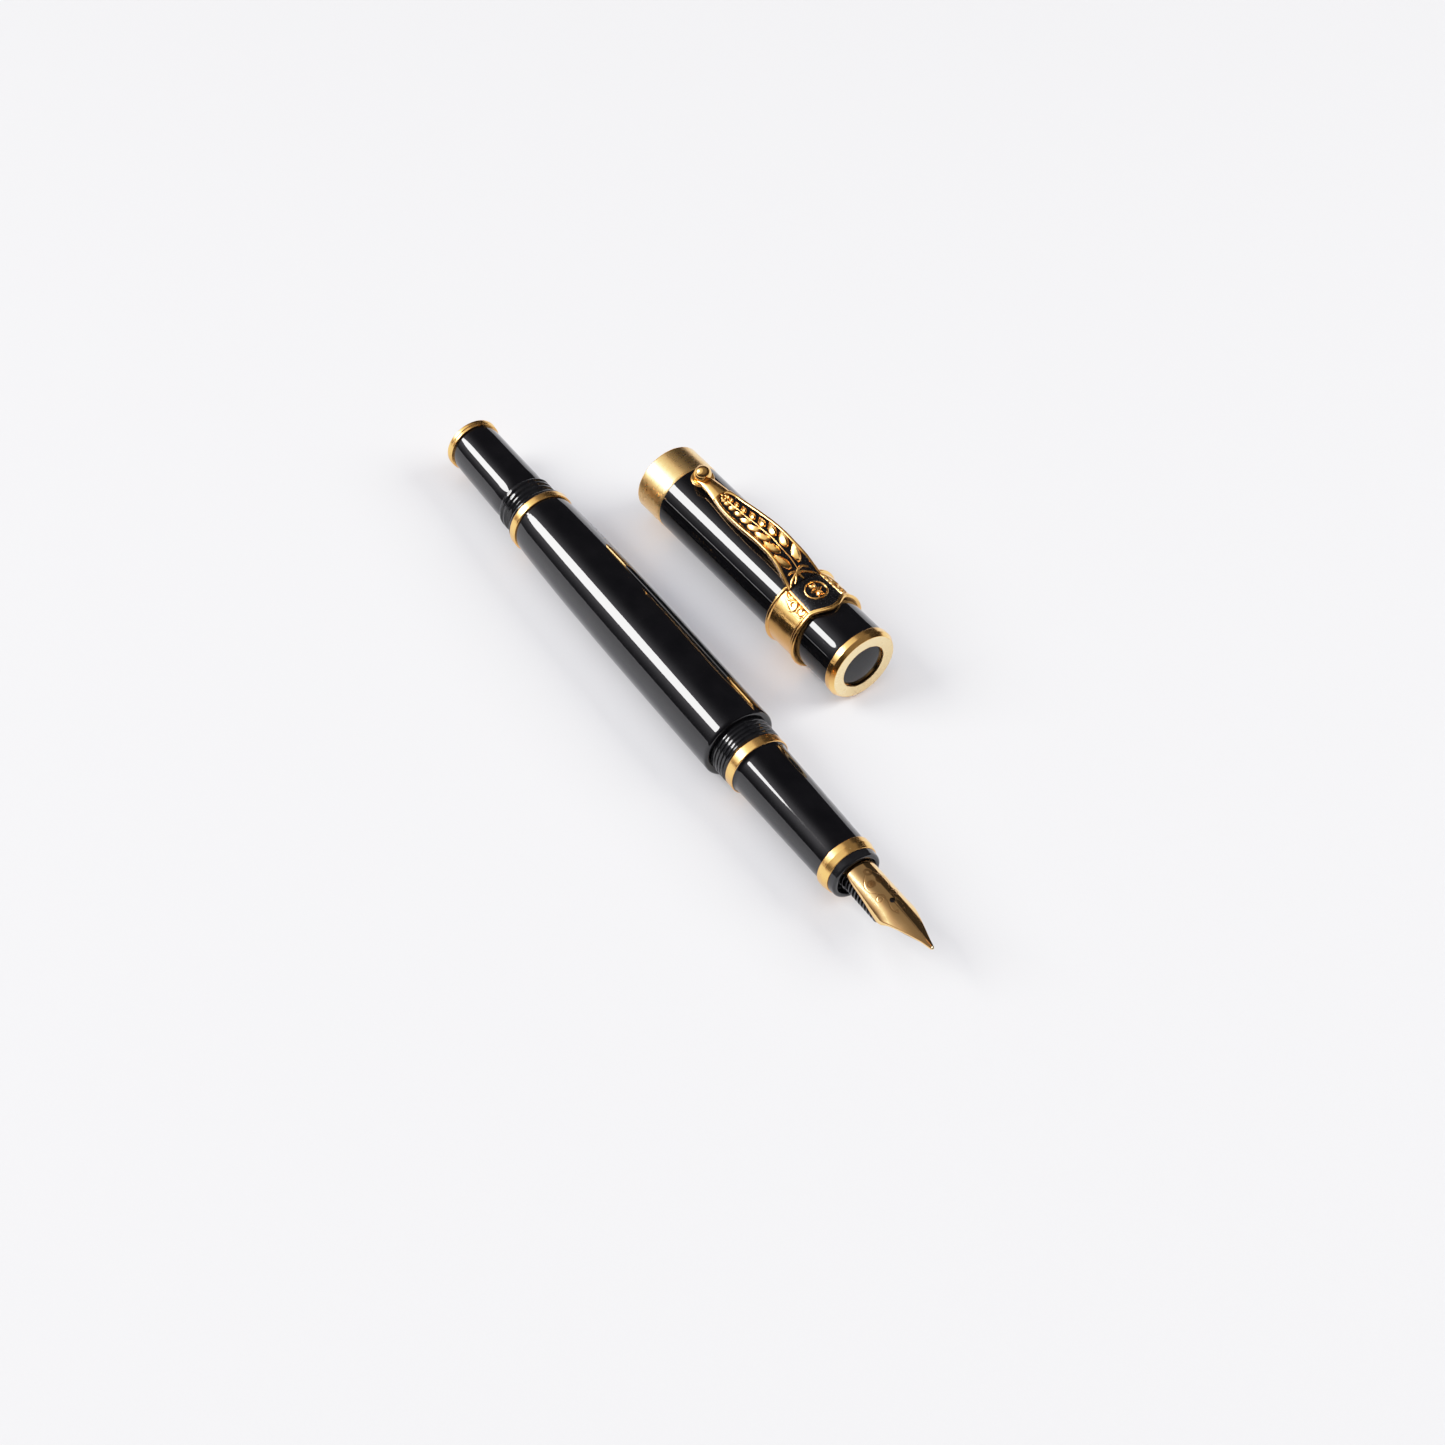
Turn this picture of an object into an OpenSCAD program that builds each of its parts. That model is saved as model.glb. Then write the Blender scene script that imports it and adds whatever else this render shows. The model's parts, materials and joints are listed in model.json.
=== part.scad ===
// Fountain pen lying uncapped, with its cap beside it.
// The pen's axis runs along +X, nib forwards. The cap lies at +Y with its mouth towards -X and its clip on top.
// Origin: on the resting surface, under the centre of the bounding box. Millimetres, +Z up.
// Pen stations are measured along X from the step at the front of the barrel.
// Cap stations are measured from the rim of the cap's mouth towards the finial.

/* [Barrel] */
// Length of the barrel from the rear ring to the front step
barrel_len = 60; // [58:0.5:62]
// Largest radius of the barrel, near the front step
barrel_r = 6.7; // [6.6:0.05:6.9]
// Radius of the barrel where it meets the rear ring
barrel_rear_r = 5.85; // [5.75:0.05:6]
// Length of the cap thread in front of the step
cap_thread_len = 4; // [3.8:0.1:4.6]
// Crest radius of the cap thread
cap_thread_r = 5.7; // [5.6:0.02:5.8]
// Number of thread crests that show
cap_thread_turns = 5; // [4:1:6]

/* [Tail] */
// Width of the gold ring behind the barrel
rear_ring_w = 1.5; // [1.2:0.1:1.8]
// Radius of the gold ring behind the barrel
rear_ring_r = 6.08; // [6.05:0.01:6.2]
// Length of the posting thread behind that ring
posting_len = 5.2; // [5:0.1:5.6]
// Length of the tail tube
tail_len = 16.1; // [15:0.1:18]
// Radius of the tail tube at its end
tail_end_r = 4.65; // [4.6:0.05:4.75]
// Radius of the tail tube where it meets the posting thread
tail_front_r = 4.95; // [4.9:0.05:5.05]
// Width of the gold end cap's rim
end_cap_w = 1.4; // [1.2:0.1:1.8]
// Radius of the gold end cap's rim
end_cap_r = 5.02; // [4.95:0.01:5.1]

/* [Grip section] */
// Width of the gold ring behind the grip
section_ring_w = 1.9; // [1.6:0.1:2.2]
// Radius of the gold ring behind the grip
section_ring_r = 5.65; // [5.6:0.01:5.75]
// Length of the grip
grip_len = 23; // [22:0.5:24]
// Radius of the grip just in front of its flare
grip_rear_r = 5.22; // [5.2:0.01:5.3]
// Radius of the grip at its front
grip_front_r = 4.78; // [4.75:0.01:4.85]
// Width of the gold ring in front of the grip
front_ring_w = 2.3; // [2:0.1:2.5]
// Radius of the gold ring in front of the grip
front_ring_r = 5.15; // [5.1:0.01:5.25]
// Length of the black lip in front of that ring
lip_len = 1.5; // [1.4:0.1:1.7]

/* [Nib] */
// How far the nib reaches past the lip
nib_reach = 19.5; // [19:0.1:20]
// Outer radius of the curved nib
nib_r = 3.5; // [3.48:0.01:3.52]
// Thickness of the nib sheet
nib_sheet = 0.3; // [0.25:0.01:0.32]
// Radius of the breather hole
breather_r = 0.5; // [0.4:0.05:0.6]
// Width of the ink slit
slit_w = 0.12; // [0.1:0.01:0.16]
// Distance between the feed's fins
fin_pitch = 0.8; // [0.7:0.05:1]
// Turn of nib and feed about the pen's axis, as they were pushed in
nib_turn = 4.5; // [0:0.5:6]

/* [Converter] */
// Outer radius of the converter's clear tube
converter_r = 3.55; // [3.5:0.01:3.6]
// Stroke of the piston
piston_stroke = 20; // [16:0.5:22]
// Number of flutes round the knob
knob_flutes = 16; // [12:1:20]

/* [Cap] */
// Length of the cap
cap_len = 55.2; // [55:0.1:57]
// Outer radius of the cap tube
cap_r = 6.55; // [6.5:0.01:6.6]
// Radius of the cap's bore
cap_bore_r = 5.9; // [5.88:0.01:5.95]
// Width of the gold band round the mouth
lip_band_w = 6.5; // [6:0.1:7]
// Width of the gold ring of the finial
finial_w = 1.9; // [1.8:0.05:2]
// Radius of the gold ring of the finial
finial_r = 6.8; // [6.7:0.05:6.9]
// Radius of the black disc set in the finial
finial_disc_r = 4.25; // [4:0.05:4.5]
// Turn of the cap about the vertical, away from the pen's direction
cap_yaw = 2.58; // [0:0.01:3]
// Station of the cap's mouth, measured from the barrel's step along the pen
cap_mouth_x = -56.63; // [-60:0.01:-50]
// Distance from the pen's axis to the middle of the cap's mouth
cap_mouth_y = 23.71; // [22:0.01:30]

/* [Clip] */
// Station of the collar's rear edge, towards the mouth
collar_start = 37.7; // [37:0.1:38]
// Width of the collar
collar_w = 7.8; // [7.6:0.1:8]
// Radius of the collar's two raised edges
collar_bead_r = 7.5; // [7.45:0.01:7.55]
// Radius of the collar between its raised edges
collar_r = 7.12; // [7.05:0.01:7.2]
// Radius of the ball at the clip's tip
clip_ball_r = 1.45; // [1.4:0.01:1.5]
// Thickness of the clip
clip_thick = 1.2; // [1.1:0.05:1.3]
// Pairs of leaves along the clip
leaf_pairs = 8; // [6:1:9]

/* [Hidden] */

round_fn = 96;
// Gap of a joint that turns or slides closely
running = 0.05;

// Pen stations, from the tail to the nib
rear_x = -barrel_len;
posting_x = rear_x - rear_ring_w;
tail_x = posting_x - posting_len;
end_cap_x = tail_x - tail_len;
end_x = end_cap_x - end_cap_w;
ring_end_x = cap_thread_len + section_ring_w;
grip_end_x = ring_end_x + grip_len;
front_ring_end_x = grip_end_x + front_ring_w;
lip_end_x = front_ring_end_x + lip_len;
tip_x = lip_end_x + nib_reach;

// Walls and hidden fits of the pen
barrel_bore_r = 5.55;
bush_len = 12;
sleeve_r = 4.6;
sleeve_bore_r = 4;
sleeve_rear_x = -6;
core_r = 4.3;
core_rear_x = 10;
core_wall = 4;
nipple_x = 3;
nipple_r = 1.5;
ink_hole_r = 1.05;
joint_spigot_r = 4.9;
tail_bore_r = 4.2;
posting_bore_r = 3.9;
lip_bore_r = 3.7;
lip_r = 4.68;

// Converter stations, from its mouth to its knob
conv_mouth_x = core_rear_x - 0.4;
conv_tube_front_x = 2;
conv_tube_rear_x = -38;
conv_bush_rear_x = -46;
conv_bore_r = converter_r - 0.55;
conv_band_r = converter_r + 0.2;
knob_r = 3.3;
knob_bore_r = 2;
knob_neck_r = 2.6;
knob_rear_x = -62;
knob_wall = 1.5;
neck_front_x = -40.5;
rod_r = 1.8;
spindle_r = 1;
seal_front_x = -0.5;
seal_len = 4.5;
rod_rear_x = -30;

// Cap placing
cap_axis_z = collar_bead_r;
collar_end = collar_start + collar_w;
cap_side_y = cap_mouth_y + collar_end * sin(cap_yaw) + collar_bead_r * cos(cap_yaw);
pen_shift_x = -(end_x + tip_x) / 2;
pen_shift_y = -(cap_side_y - barrel_r) / 2;
cap_tube_bore_r = 6.2;
finial_start = cap_len - finial_w;
liner_wall_start = cap_len - 2.6;
finial_recess = 0.7;

// Clip: height of its middle surface above the cap's axis, along its length
clip_tip = 10.1;
clip_root = collar_start + 0.85;
clip_ball_z = 9.35;
clip_rise = [[8.4, 8.25], [13, 8.2], [18, 8.1], [24, 8.85], [29.5, 9.5], [34, 9.05], [36.6, 8.25], [38.6, 7.5]];
clip_half_widths = [[8.4, 1.3], [13, 1.35], [16, 1.75], [20, 2.35], [25, 2.7], [30, 2.75], [34, 2.85],
                    [36.5, 3.2], [38.6, 3.65]];
channel_half_widths = [[15.8, 0.35], [16.4, 0.95], [20, 1.7], [25, 2.1], [30, 2.2], [34, 2.3], [36.5, 2.6],
                       [38.6, 2.95]];
rail_floor = 0.15;

// Smooth curve through a row of points
function bend(a, b, c, d, t) =
    0.5 * (2 * b + (c - a) * t + (2 * a - 5 * b + 4 * c - d) * t * t + (3 * b - a - 3 * c + d) * t * t * t);
function smooth(p, n = 4) = [
    for (i = [0 : len(p) - 2], k = [0 : n - 1])
        bend(p[max(i - 1, 0)], p[i], p[i + 1], p[min(i + 2, len(p) - 1)], k / n),
    p[len(p) - 1]];
function backwards(p) = [for (i = [len(p) - 1 : -1 : 0]) p[i]];
function both_sides(p) = concat(p, [for (q = backwards(p)) [q[0], -q[1]]]);
function raised(p, h) = [for (q = p) [q[0], q[1] + h]];
// Crests of a turned thread: an outline of [radius, station] points between two stations
function crests(from, to, n, root_r, crest_r) = [
    for (i = [0 : n - 1], k = [0 : 2])
        [k == 1 ? crest_r : root_r, from + (to - from) * (i + [0.12, 0.5, 0.88][k]) / n]];
// Outline of the barrel, which narrows towards its rear
function barrel_outline(n = 24) = [
    for (i = [0 : n])
        [barrel_r - (barrel_r - barrel_rear_r) * pow(1 - i / n, 3.6), rear_x + (barrel_len - 0.8) * i / n]];

module in_pen() translate([pen_shift_x, pen_shift_y, barrel_r]) children();

module in_cap()
    translate([pen_shift_x + cap_mouth_x, pen_shift_y + cap_mouth_y, cap_axis_z])
        rotate([0, 0, cap_yaw]) children();

// A turned solid along X from [radius, station] points
module turned(points) rotate([0, 90, 0]) rotate_extrude($fn = round_fn) polygon(points);

// A plain bar or tube along X between two stations
module tube_x(from, to, outer, inner = 0)
    turned([[inner, from], [outer, from], [outer, to], [inner, to]]);

// A plate seen from above, between two heights
module plan(points, low, high) translate([0, 0, low]) linear_extrude(high - low) polygon(points);

// A plate seen from the side, across the middle plane
module side(points, half) rotate([90, 0, 0]) linear_extrude(2 * half, center = true) polygon(points);

// ---------------------------------------------------------------- barrel and tail

module barrel_tube() color("#101013") in_pen() turned(concat(
    [[joint_spigot_r, rear_x]],
    barrel_outline(),
    [for (a = [15 : 15 : 90]) [barrel_r - 0.8 + 0.8 * cos(a), -0.8 + 0.8 * sin(a)]],
    [[barrel_bore_r, 0], [barrel_bore_r, rear_x + 5], [joint_spigot_r, rear_x + 5]]));

module barrel_thread_bush() color("#141416") in_pen() turned(concat(
    [[sleeve_r + running, -bush_len], [barrel_bore_r, -bush_len], [barrel_bore_r, 0]],
    crests(0, cap_thread_len, cap_thread_turns, cap_thread_r - 0.35, cap_thread_r),
    [[cap_thread_r - 0.35, cap_thread_len], [sleeve_r + running, cap_thread_len]]));

module rear_ring() color("#d9a640") in_pen() turned([
    [joint_spigot_r, posting_x], [rear_ring_r - 0.2, posting_x], [rear_ring_r, posting_x + 0.3],
    [rear_ring_r, rear_x - 0.3], [rear_ring_r - 0.2, rear_x], [joint_spigot_r, rear_x]]);

module posting_thread() color("#141416") in_pen() turned(concat(
    [[posting_bore_r, tail_x - 3], [tail_bore_r, tail_x - 3], [tail_bore_r, tail_x]],
    crests(tail_x, tail_x + 3.2, 3, tail_front_r - 0.05, tail_front_r + 0.4),
    [[tail_front_r, tail_x + 3.3], [5.3, tail_x + 3.9], [5.75, posting_x - 0.8], [5.85, posting_x - 0.4],
     [5.75, posting_x], [joint_spigot_r, posting_x], [joint_spigot_r, rear_x + 5],
     [posting_bore_r, rear_x + 5]]));

module tail_tube() color("#101013") in_pen() turned([
    [tail_bore_r, end_cap_x], [tail_end_r, end_cap_x], [tail_front_r, tail_x], [tail_bore_r, tail_x]]);

module tail_end_cap() color("#d9a640") in_pen() turned([
    [0, end_x + 0.35], [3.2, end_x + 0.35], [3.5, end_x], [end_cap_r - 0.3, end_x], [end_cap_r, end_x + 0.3],
    [end_cap_r, end_cap_x - 0.2], [end_cap_r - 0.2, end_cap_x], [tail_bore_r, end_cap_x],
    [tail_bore_r, end_cap_x + 3], [3.4, end_cap_x + 3], [3.4, end_cap_x + 0.4], [0, end_cap_x + 0.4]]);

// ---------------------------------------------------------------- grip section

module section_core() color("#1a1a1d") in_pen() turned([
    [ink_hole_r, nipple_x], [nipple_r - 0.2, nipple_x], [nipple_r, nipple_x + 0.4], [nipple_r, core_rear_x],
    [core_r, core_rear_x], [core_r, front_ring_end_x], [nib_r + running, front_ring_end_x],
    [nib_r + running, core_rear_x + core_wall], [ink_hole_r, core_rear_x + core_wall]]);

module section_sleeve() color("#c9983c") in_pen() turned(concat(
    [[sleeve_bore_r, sleeve_rear_x]],
    crests(sleeve_rear_x, 1.5, 7, sleeve_r - 0.25, sleeve_r),
    [[sleeve_r, 1.7], [sleeve_r, core_rear_x], [sleeve_bore_r, core_rear_x]]));

module section_ring() color("#d9a640") in_pen() turned([
    [sleeve_r, cap_thread_len + running], [section_ring_r - 0.15, cap_thread_len + running],
    [section_ring_r, cap_thread_len + 0.3], [section_ring_r, ring_end_x - 0.3],
    [section_ring_r - 0.15, ring_end_x], [sleeve_r, ring_end_x]]);

module grip() color("#101013") in_pen() turned(concat(
    [[sleeve_r, ring_end_x]],
    [for (a = [90 : -15 : 0]) [grip_rear_r + 0.28 * (1 - cos(a)), ring_end_x + 0.9 * (1 - sin(a))]],
    [[grip_rear_r - 0.03, ring_end_x + 1.6], [grip_front_r, grip_end_x], [core_r, grip_end_x],
     [core_r, core_rear_x], [sleeve_r, core_rear_x]]));

module grip_front_ring() color("#d9a640") in_pen() turned([
    [core_r, grip_end_x], [front_ring_r - 0.15, grip_end_x], [front_ring_r, grip_end_x + 0.2],
    [front_ring_r - 0.04, grip_end_x + 1.15], [lip_r + 0.12, front_ring_end_x], [core_r, front_ring_end_x]]);

module grip_lip() color("#141416") in_pen() turned(concat(
    [[lip_bore_r, front_ring_end_x], [lip_r, front_ring_end_x]],
    [for (a = [0 : 15 : 90]) [lip_r - 0.6 + 0.6 * cos(a), lip_end_x - 1.2 + 1.2 * sin(a)]],
    [[lip_bore_r + 0.25, lip_end_x], [lip_bore_r, lip_end_x - 0.35]]));

// ---------------------------------------------------------------- nib and feed

shoulder_x = tip_x - 9;
breather_x = tip_x - 10.7;
nib_tail_x = core_rear_x + 8;
tip_rise = nib_r - 0.4;
tip_ball_r = 0.3;
nib_half_widths = [[nib_tail_x, 2.45], [lip_end_x, 2.6], [shoulder_x - 4.7, 2.98], [shoulder_x - 0.6, 3.26],
                   [shoulder_x + 0.6, 3.12], [shoulder_x + 2.6, 2.4], [shoulder_x + 5.4, 1.4],
                   [tip_x - 1.1, 0.55], [tip_x - 0.25, 0.28]];

module in_nib() in_pen() rotate([-nib_turn, 0, 0]) children();

module nib() color("#c8963a") in_nib() difference() {
    intersection() {
        turned([[nib_r - nib_sheet, nib_tail_x], [nib_r, nib_tail_x], [nib_r, shoulder_x], [tip_rise, tip_x],
                [tip_rise - nib_sheet, tip_x], [nib_r - nib_sheet, shoulder_x]]);
        plan(both_sides(smooth(nib_half_widths)), 0.5, 5);
    }
    translate([breather_x, 0, 0]) cylinder(h = 6, r = breather_r, $fn = round_fn);
    translate([breather_x, -slit_w / 2, 0]) cube([tip_x, slit_w, 6]);
    translate([tip_x - tip_ball_r, 0, tip_rise - 0.25]) sphere(r = tip_ball_r, $fn = 48);
}

module nib_tipping() color("#d8d4cc") in_nib()
    translate([tip_x - tip_ball_r, 0, tip_rise - 0.25]) sphere(r = tip_ball_r, $fn = 48);

feed_r = nib_r - nib_sheet - 0.08;
feed_rear_x = core_rear_x + core_wall + 0.3;
comb_front_x = tip_x - 11.2;
tongue_tip_x = tip_x - 2.6;

module feed() color("#17171a") in_nib() union() {
    turned([[0, core_rear_x - 2], [spindle_r, core_rear_x - 2], [spindle_r, feed_rear_x],
            [feed_r, feed_rear_x], [feed_r, lip_end_x - 0.6], [0, lip_end_x - 0.6]]);
    tube_x(lip_end_x - 0.7, comb_front_x, 1.9);
    for (x = [lip_end_x - 0.2 : fin_pitch : comb_front_x - 0.4])
        tube_x(x, x + 0.36, 2.65);
    intersection() {
        turned([[0, lip_end_x - 0.7], [feed_r, lip_end_x - 0.7], [feed_r, shoulder_x],
                [feed_r - 0.33, tongue_tip_x], [0, tongue_tip_x]]);
        side([[lip_end_x - 0.7, 1.2], [comb_front_x - 0.3, 1.2], [comb_front_x - 0.3, -1.9],
              [comb_front_x + 1.2, -1.1], [comb_front_x + 4, 0.9], [tongue_tip_x, 2.35], [tongue_tip_x, 4],
              [lip_end_x - 0.7, 4]], 4);
        plan(both_sides([[lip_end_x - 0.7, 2.3], [comb_front_x - 1, 2.3], [comb_front_x + 2.5, 1.9],
                         [tongue_tip_x, 0.45]]), -3, 4);
    }
}

// ---------------------------------------------------------------- converter

module converter_tube() color("#cfe0e6", 0.5) in_pen()
    tube_x(conv_tube_rear_x, conv_tube_front_x, converter_r, conv_bore_r);

module converter_mouth() color("#1c1c1f") in_pen() turned([
    [nipple_r + 0.02, 0], [conv_bore_r, 0], [conv_bore_r, conv_tube_front_x],
    [converter_r + 0.05, conv_tube_front_x], [converter_r + 0.05, conv_mouth_x - 0.5],
    [converter_r - 0.4, conv_mouth_x], [nipple_r + 0.02, conv_mouth_x]]);

module converter_bush() color("#1c1c1f") in_pen() turned([
    [knob_neck_r + running, conv_bush_rear_x], [converter_r, conv_bush_rear_x],
    [converter_r, conv_tube_rear_x], [rod_r + running, conv_tube_rear_x],
    [rod_r + running, neck_front_x + 0.3], [knob_neck_r + running, neck_front_x + 0.3]]);

module converter_band() color("#d9a640") in_pen()
    tube_x(conv_bush_rear_x, conv_tube_rear_x + 2, conv_band_r, converter_r);

module converter_knob() color("#1c1c1f") in_pen() difference() {
    turned([[0, knob_rear_x], [knob_r - 0.4, knob_rear_x], [knob_r, knob_rear_x + 0.4],
            [knob_r, conv_bush_rear_x - 0.2], [knob_neck_r, conv_bush_rear_x - 0.2],
            [knob_neck_r, neck_front_x], [knob_bore_r, neck_front_x], [knob_bore_r, knob_rear_x + knob_wall],
            [0, knob_rear_x + knob_wall]]);
    for (i = [0 : knob_flutes - 1])
        rotate([i * 360 / knob_flutes, 0, 0]) translate([knob_rear_x - 1, 0, knob_r + 0.1])
            rotate([0, 90, 0]) cylinder(h = 12, r = 0.3, $fn = 24);
}

module converter_spindle() color("#c8c8cc") in_pen() turned(concat(
    [[0, knob_rear_x + knob_wall]],
    [[spindle_r, knob_rear_x + knob_wall]],
    crests(knob_rear_x + knob_wall + 2, rod_rear_x + 3, 16, spindle_r - 0.18, spindle_r),
    [[0, rod_rear_x + 3]]));

module piston_rod() color("#e6e6e2") in_pen() turned([
    [spindle_r + running, rod_rear_x], [rod_r, rod_rear_x], [rod_r, seal_front_x - seal_len],
    [0, seal_front_x - seal_len], [0, seal_front_x - seal_len - 1.5],
    [spindle_r + running, seal_front_x - seal_len - 1.5]]);

module piston_seal() color("#2a2a2c") in_pen() turned([
    [0, seal_front_x - seal_len], [conv_bore_r - 0.03, seal_front_x - seal_len],
    [conv_bore_r - 0.03, seal_front_x - seal_len + 1], [conv_bore_r - 0.5, seal_front_x - seal_len + 1.4],
    [conv_bore_r - 0.5, seal_front_x - 1.4], [conv_bore_r - 0.03, seal_front_x - 1],
    [conv_bore_r - 0.03, seal_front_x - 0.3], [1.6, seal_front_x], [0, seal_front_x]]);

// ---------------------------------------------------------------- cap

module cap_tube() color("#101013") in_cap()
    tube_x(lip_band_w, finial_start, cap_r, cap_tube_bore_r);

module cap_lip_band() color("#d9a640") in_cap() turned([
    [cap_tube_bore_r, 0], [cap_r - 0.15, 0], [cap_r + 0.05, 0.25], [cap_r + 0.05, lip_band_w - 0.15],
    [cap_r - 0.05, lip_band_w], [cap_tube_bore_r, lip_band_w]]);

module cap_liner() color("#1a1a1d") in_cap() turned([
    [cap_bore_r + 0.15, 0.2], [cap_tube_bore_r, 0.2], [cap_tube_bore_r, finial_start], [0, finial_start],
    [0, liner_wall_start], [cap_bore_r, liner_wall_start], [cap_bore_r, 0.5]]);

shield_half = 3.15;
shield_r = 7.72;
shield_outline = [[collar_start + 1.15, shield_half], [collar_end - 1.3, shield_half + 0.2],
                  [collar_end - 0.2, shield_half - 0.9], [collar_end + 0.5, 1.2], [collar_end + 0.85, 0]];

module shield_block(low_r, high_r, outline) intersection() {
    tube_x(collar_start - 1, collar_end + 2, high_r, low_r);
    plan(both_sides(outline), 0, 12);
}

module clip_collar() color("#d9a640") in_cap() difference() {
    union() {
        turned([[cap_r, collar_start], [collar_bead_r - 0.3, collar_start], [collar_bead_r, collar_start + 0.3],
                [collar_bead_r - 0.08, collar_start + 0.65], [collar_r, collar_start + 1],
                [collar_r, collar_end - 1], [collar_bead_r - 0.08, collar_end - 0.65],
                [collar_bead_r, collar_end - 0.3], [collar_bead_r - 0.3, collar_end], [cap_r, collar_end]]);
        shield_block(cap_r, shield_r,
            [[clip_root + 0.1, shield_half + 0.55], [collar_end - 0.9, shield_half + 0.8],
             [collar_end + 0.1, shield_half - 0.2], [collar_end + 1.2, 1.5], [collar_end + 1.6, 0]]);
    }
    shield_block(shield_r - 0.35, shield_r + 1, shield_outline);
}

module shield_enamel() color("#0c0c0e") in_cap()
    shield_block(shield_r - 0.35, shield_r - 0.1, shield_outline);

module shield_rosette() color("#e3b44e") in_cap() intersection() {
    tube_x(collar_start, collar_end, shield_r + 0.12, shield_r - 0.1);
    translate([collar_start + 4.1, 0, 0]) union() {
        for (i = [0 : 5])
            rotate([0, 0, 60 * i]) translate([0.95, 0, 0]) linear_extrude(12) intersection() {
                translate([0, 0.75]) circle(r = 1.15, $fn = 48);
                translate([0, -0.75]) circle(r = 1.15, $fn = 48);
            }
        cylinder(h = 12, r = 0.42, $fn = 48);
    }
}

module scroll_curl(station, angle, size)
    rotate([-angle, 0, 0]) translate([station, 0, collar_r + 0.05])
        rotate_extrude($fn = 48) translate([size, 0]) circle(r = 0.2, $fn = 24);

module collar_scrolls() color("#e3b44e") in_cap() union() {
    for (s = [-1, 1], c = [[2.2, 36, 0.7], [3.9, 41, 0.9], [5.7, 36, 0.6]])
        scroll_curl(collar_start + c[0], s * c[1], c[2]);
}

module finial_ring() color("#d9a640") in_cap() turned([
    [1.5, finial_start], [finial_r - 0.3, finial_start], [finial_r, finial_start + 0.3],
    [finial_r, cap_len - 0.75], [finial_r - 0.5, cap_len], [finial_disc_r, cap_len],
    [finial_disc_r, cap_len - finial_recess], [2.4, cap_len - finial_recess],
    [2.4, cap_len - finial_recess - 0.6], [1.5, cap_len - finial_recess - 0.6]]);

module finial_disc() color("#0c0c0e") in_cap() turned([
    [0, cap_len - finial_recess], [finial_disc_r, cap_len - finial_recess], [finial_disc_r, cap_len - 0.55],
    [3.6, cap_len - 0.42], [2.8, cap_len - 0.3], [1.8, cap_len - 0.2], [0.9, cap_len - 0.14],
    [0, cap_len - 0.12]]);

module finial_screw() color("#b9b9bd") in_cap() turned([
    [0, finial_start], [1.5, finial_start], [1.5, cap_len - finial_recess - 0.6],
    [2.4, cap_len - finial_recess - 0.6], [2.4, cap_len - finial_recess], [0, cap_len - finial_recess]]);

// ---------------------------------------------------------------- clip

clip_curve = smooth(clip_rise);
function clip_z(u) = lookup(u, clip_curve);
function clip_slope(u) = atan2(clip_z(u + 0.5) - clip_z(u - 0.5), 1);

// A layer of the clip between two heights about its middle surface
module clip_layer(widths, low, high) intersection() {
    plan(both_sides(smooth(widths)), 4, 12);
    side(concat(raised(clip_curve, low), backwards(raised(clip_curve, high))), 6);
    turned([[0, 0], [14, 0], [14, 30], [8.75, clip_root], [0, clip_root]]);
}

module clip_frame() color("#d9a640") in_cap() difference() {
    union() {
        clip_layer(clip_half_widths, -clip_thick / 2, clip_thick / 2);
        translate([clip_tip, 0, 7.6]) cylinder(h = 0.8, r = 1.95, $fn = round_fn);
    }
    clip_layer(channel_half_widths, rail_floor, clip_thick);
    tube_x(collar_start - 1.5, collar_end, collar_bead_r + 0.08);
    translate([clip_tip, 0, clip_ball_z]) sphere(r = clip_ball_r, $fn = 64);
}

module clip_enamel() color("#0c0c0e") in_cap() difference() {
    clip_layer(channel_half_widths, rail_floor, rail_floor + 0.2);
    tube_x(collar_start - 1.5, collar_end, collar_bead_r + 0.08);
}

module leaf(length, width) linear_extrude(0.4) intersection() {
    radius = (length * length / 4 + width * width / 4) / width;
    translate([0, radius - width / 2]) circle(r = radius, $fn = 48);
    translate([0, width / 2 - radius]) circle(r = radius, $fn = 48);
}

module clip_leaves() color("#e3b44e") in_cap() union() {
    for (i = [0 : leaf_pairs - 1], s = [-1, 1]) {
        share = i / (leaf_pairs - 1);
        u = 18.2 + 15.4 * pow(share, 1.12);
        translate([u, s * (0.5 + 0.65 * share), clip_z(u) + rail_floor + 0.1])
            rotate([0, -clip_slope(u), 0]) rotate([0, 0, -s * 32])
                leaf(1.3 + 1.5 * share, 0.62 + 0.5 * share);
    }
}

module clip_ball() color("#e3b44e") in_cap()
    translate([clip_tip, 0, clip_ball_z]) sphere(r = clip_ball_r, $fn = 64);

barrel_tube();
barrel_thread_bush();
rear_ring();
posting_thread();
tail_tube();
tail_end_cap();
section_core();
section_sleeve();
section_ring();
grip();
grip_front_ring();
grip_lip();
nib();
nib_tipping();
feed();
converter_tube();
converter_mouth();
converter_bush();
converter_band();
converter_knob();
converter_spindle();
piston_rod();
piston_seal();
cap_tube();
cap_lip_band();
cap_liner();
clip_collar();
collar_scrolls();
shield_enamel();
shield_rosette();
finial_ring();
finial_disc();
finial_screw();
clip_frame();
clip_enamel();
clip_leaves();
clip_ball();
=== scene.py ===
"""Looks of the fountain pen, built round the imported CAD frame.

The pen lies along +X and its cap beside it. Shapes are drawn in millimetres, in the pen's frame
(origin at the barrel's front step) or in the cap's (origin at its mouth), and placed by the CAD.
"""
import json
import math

import bmesh
import bpy
import numpy as np
from mathutils import Matrix, Vector

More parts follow.
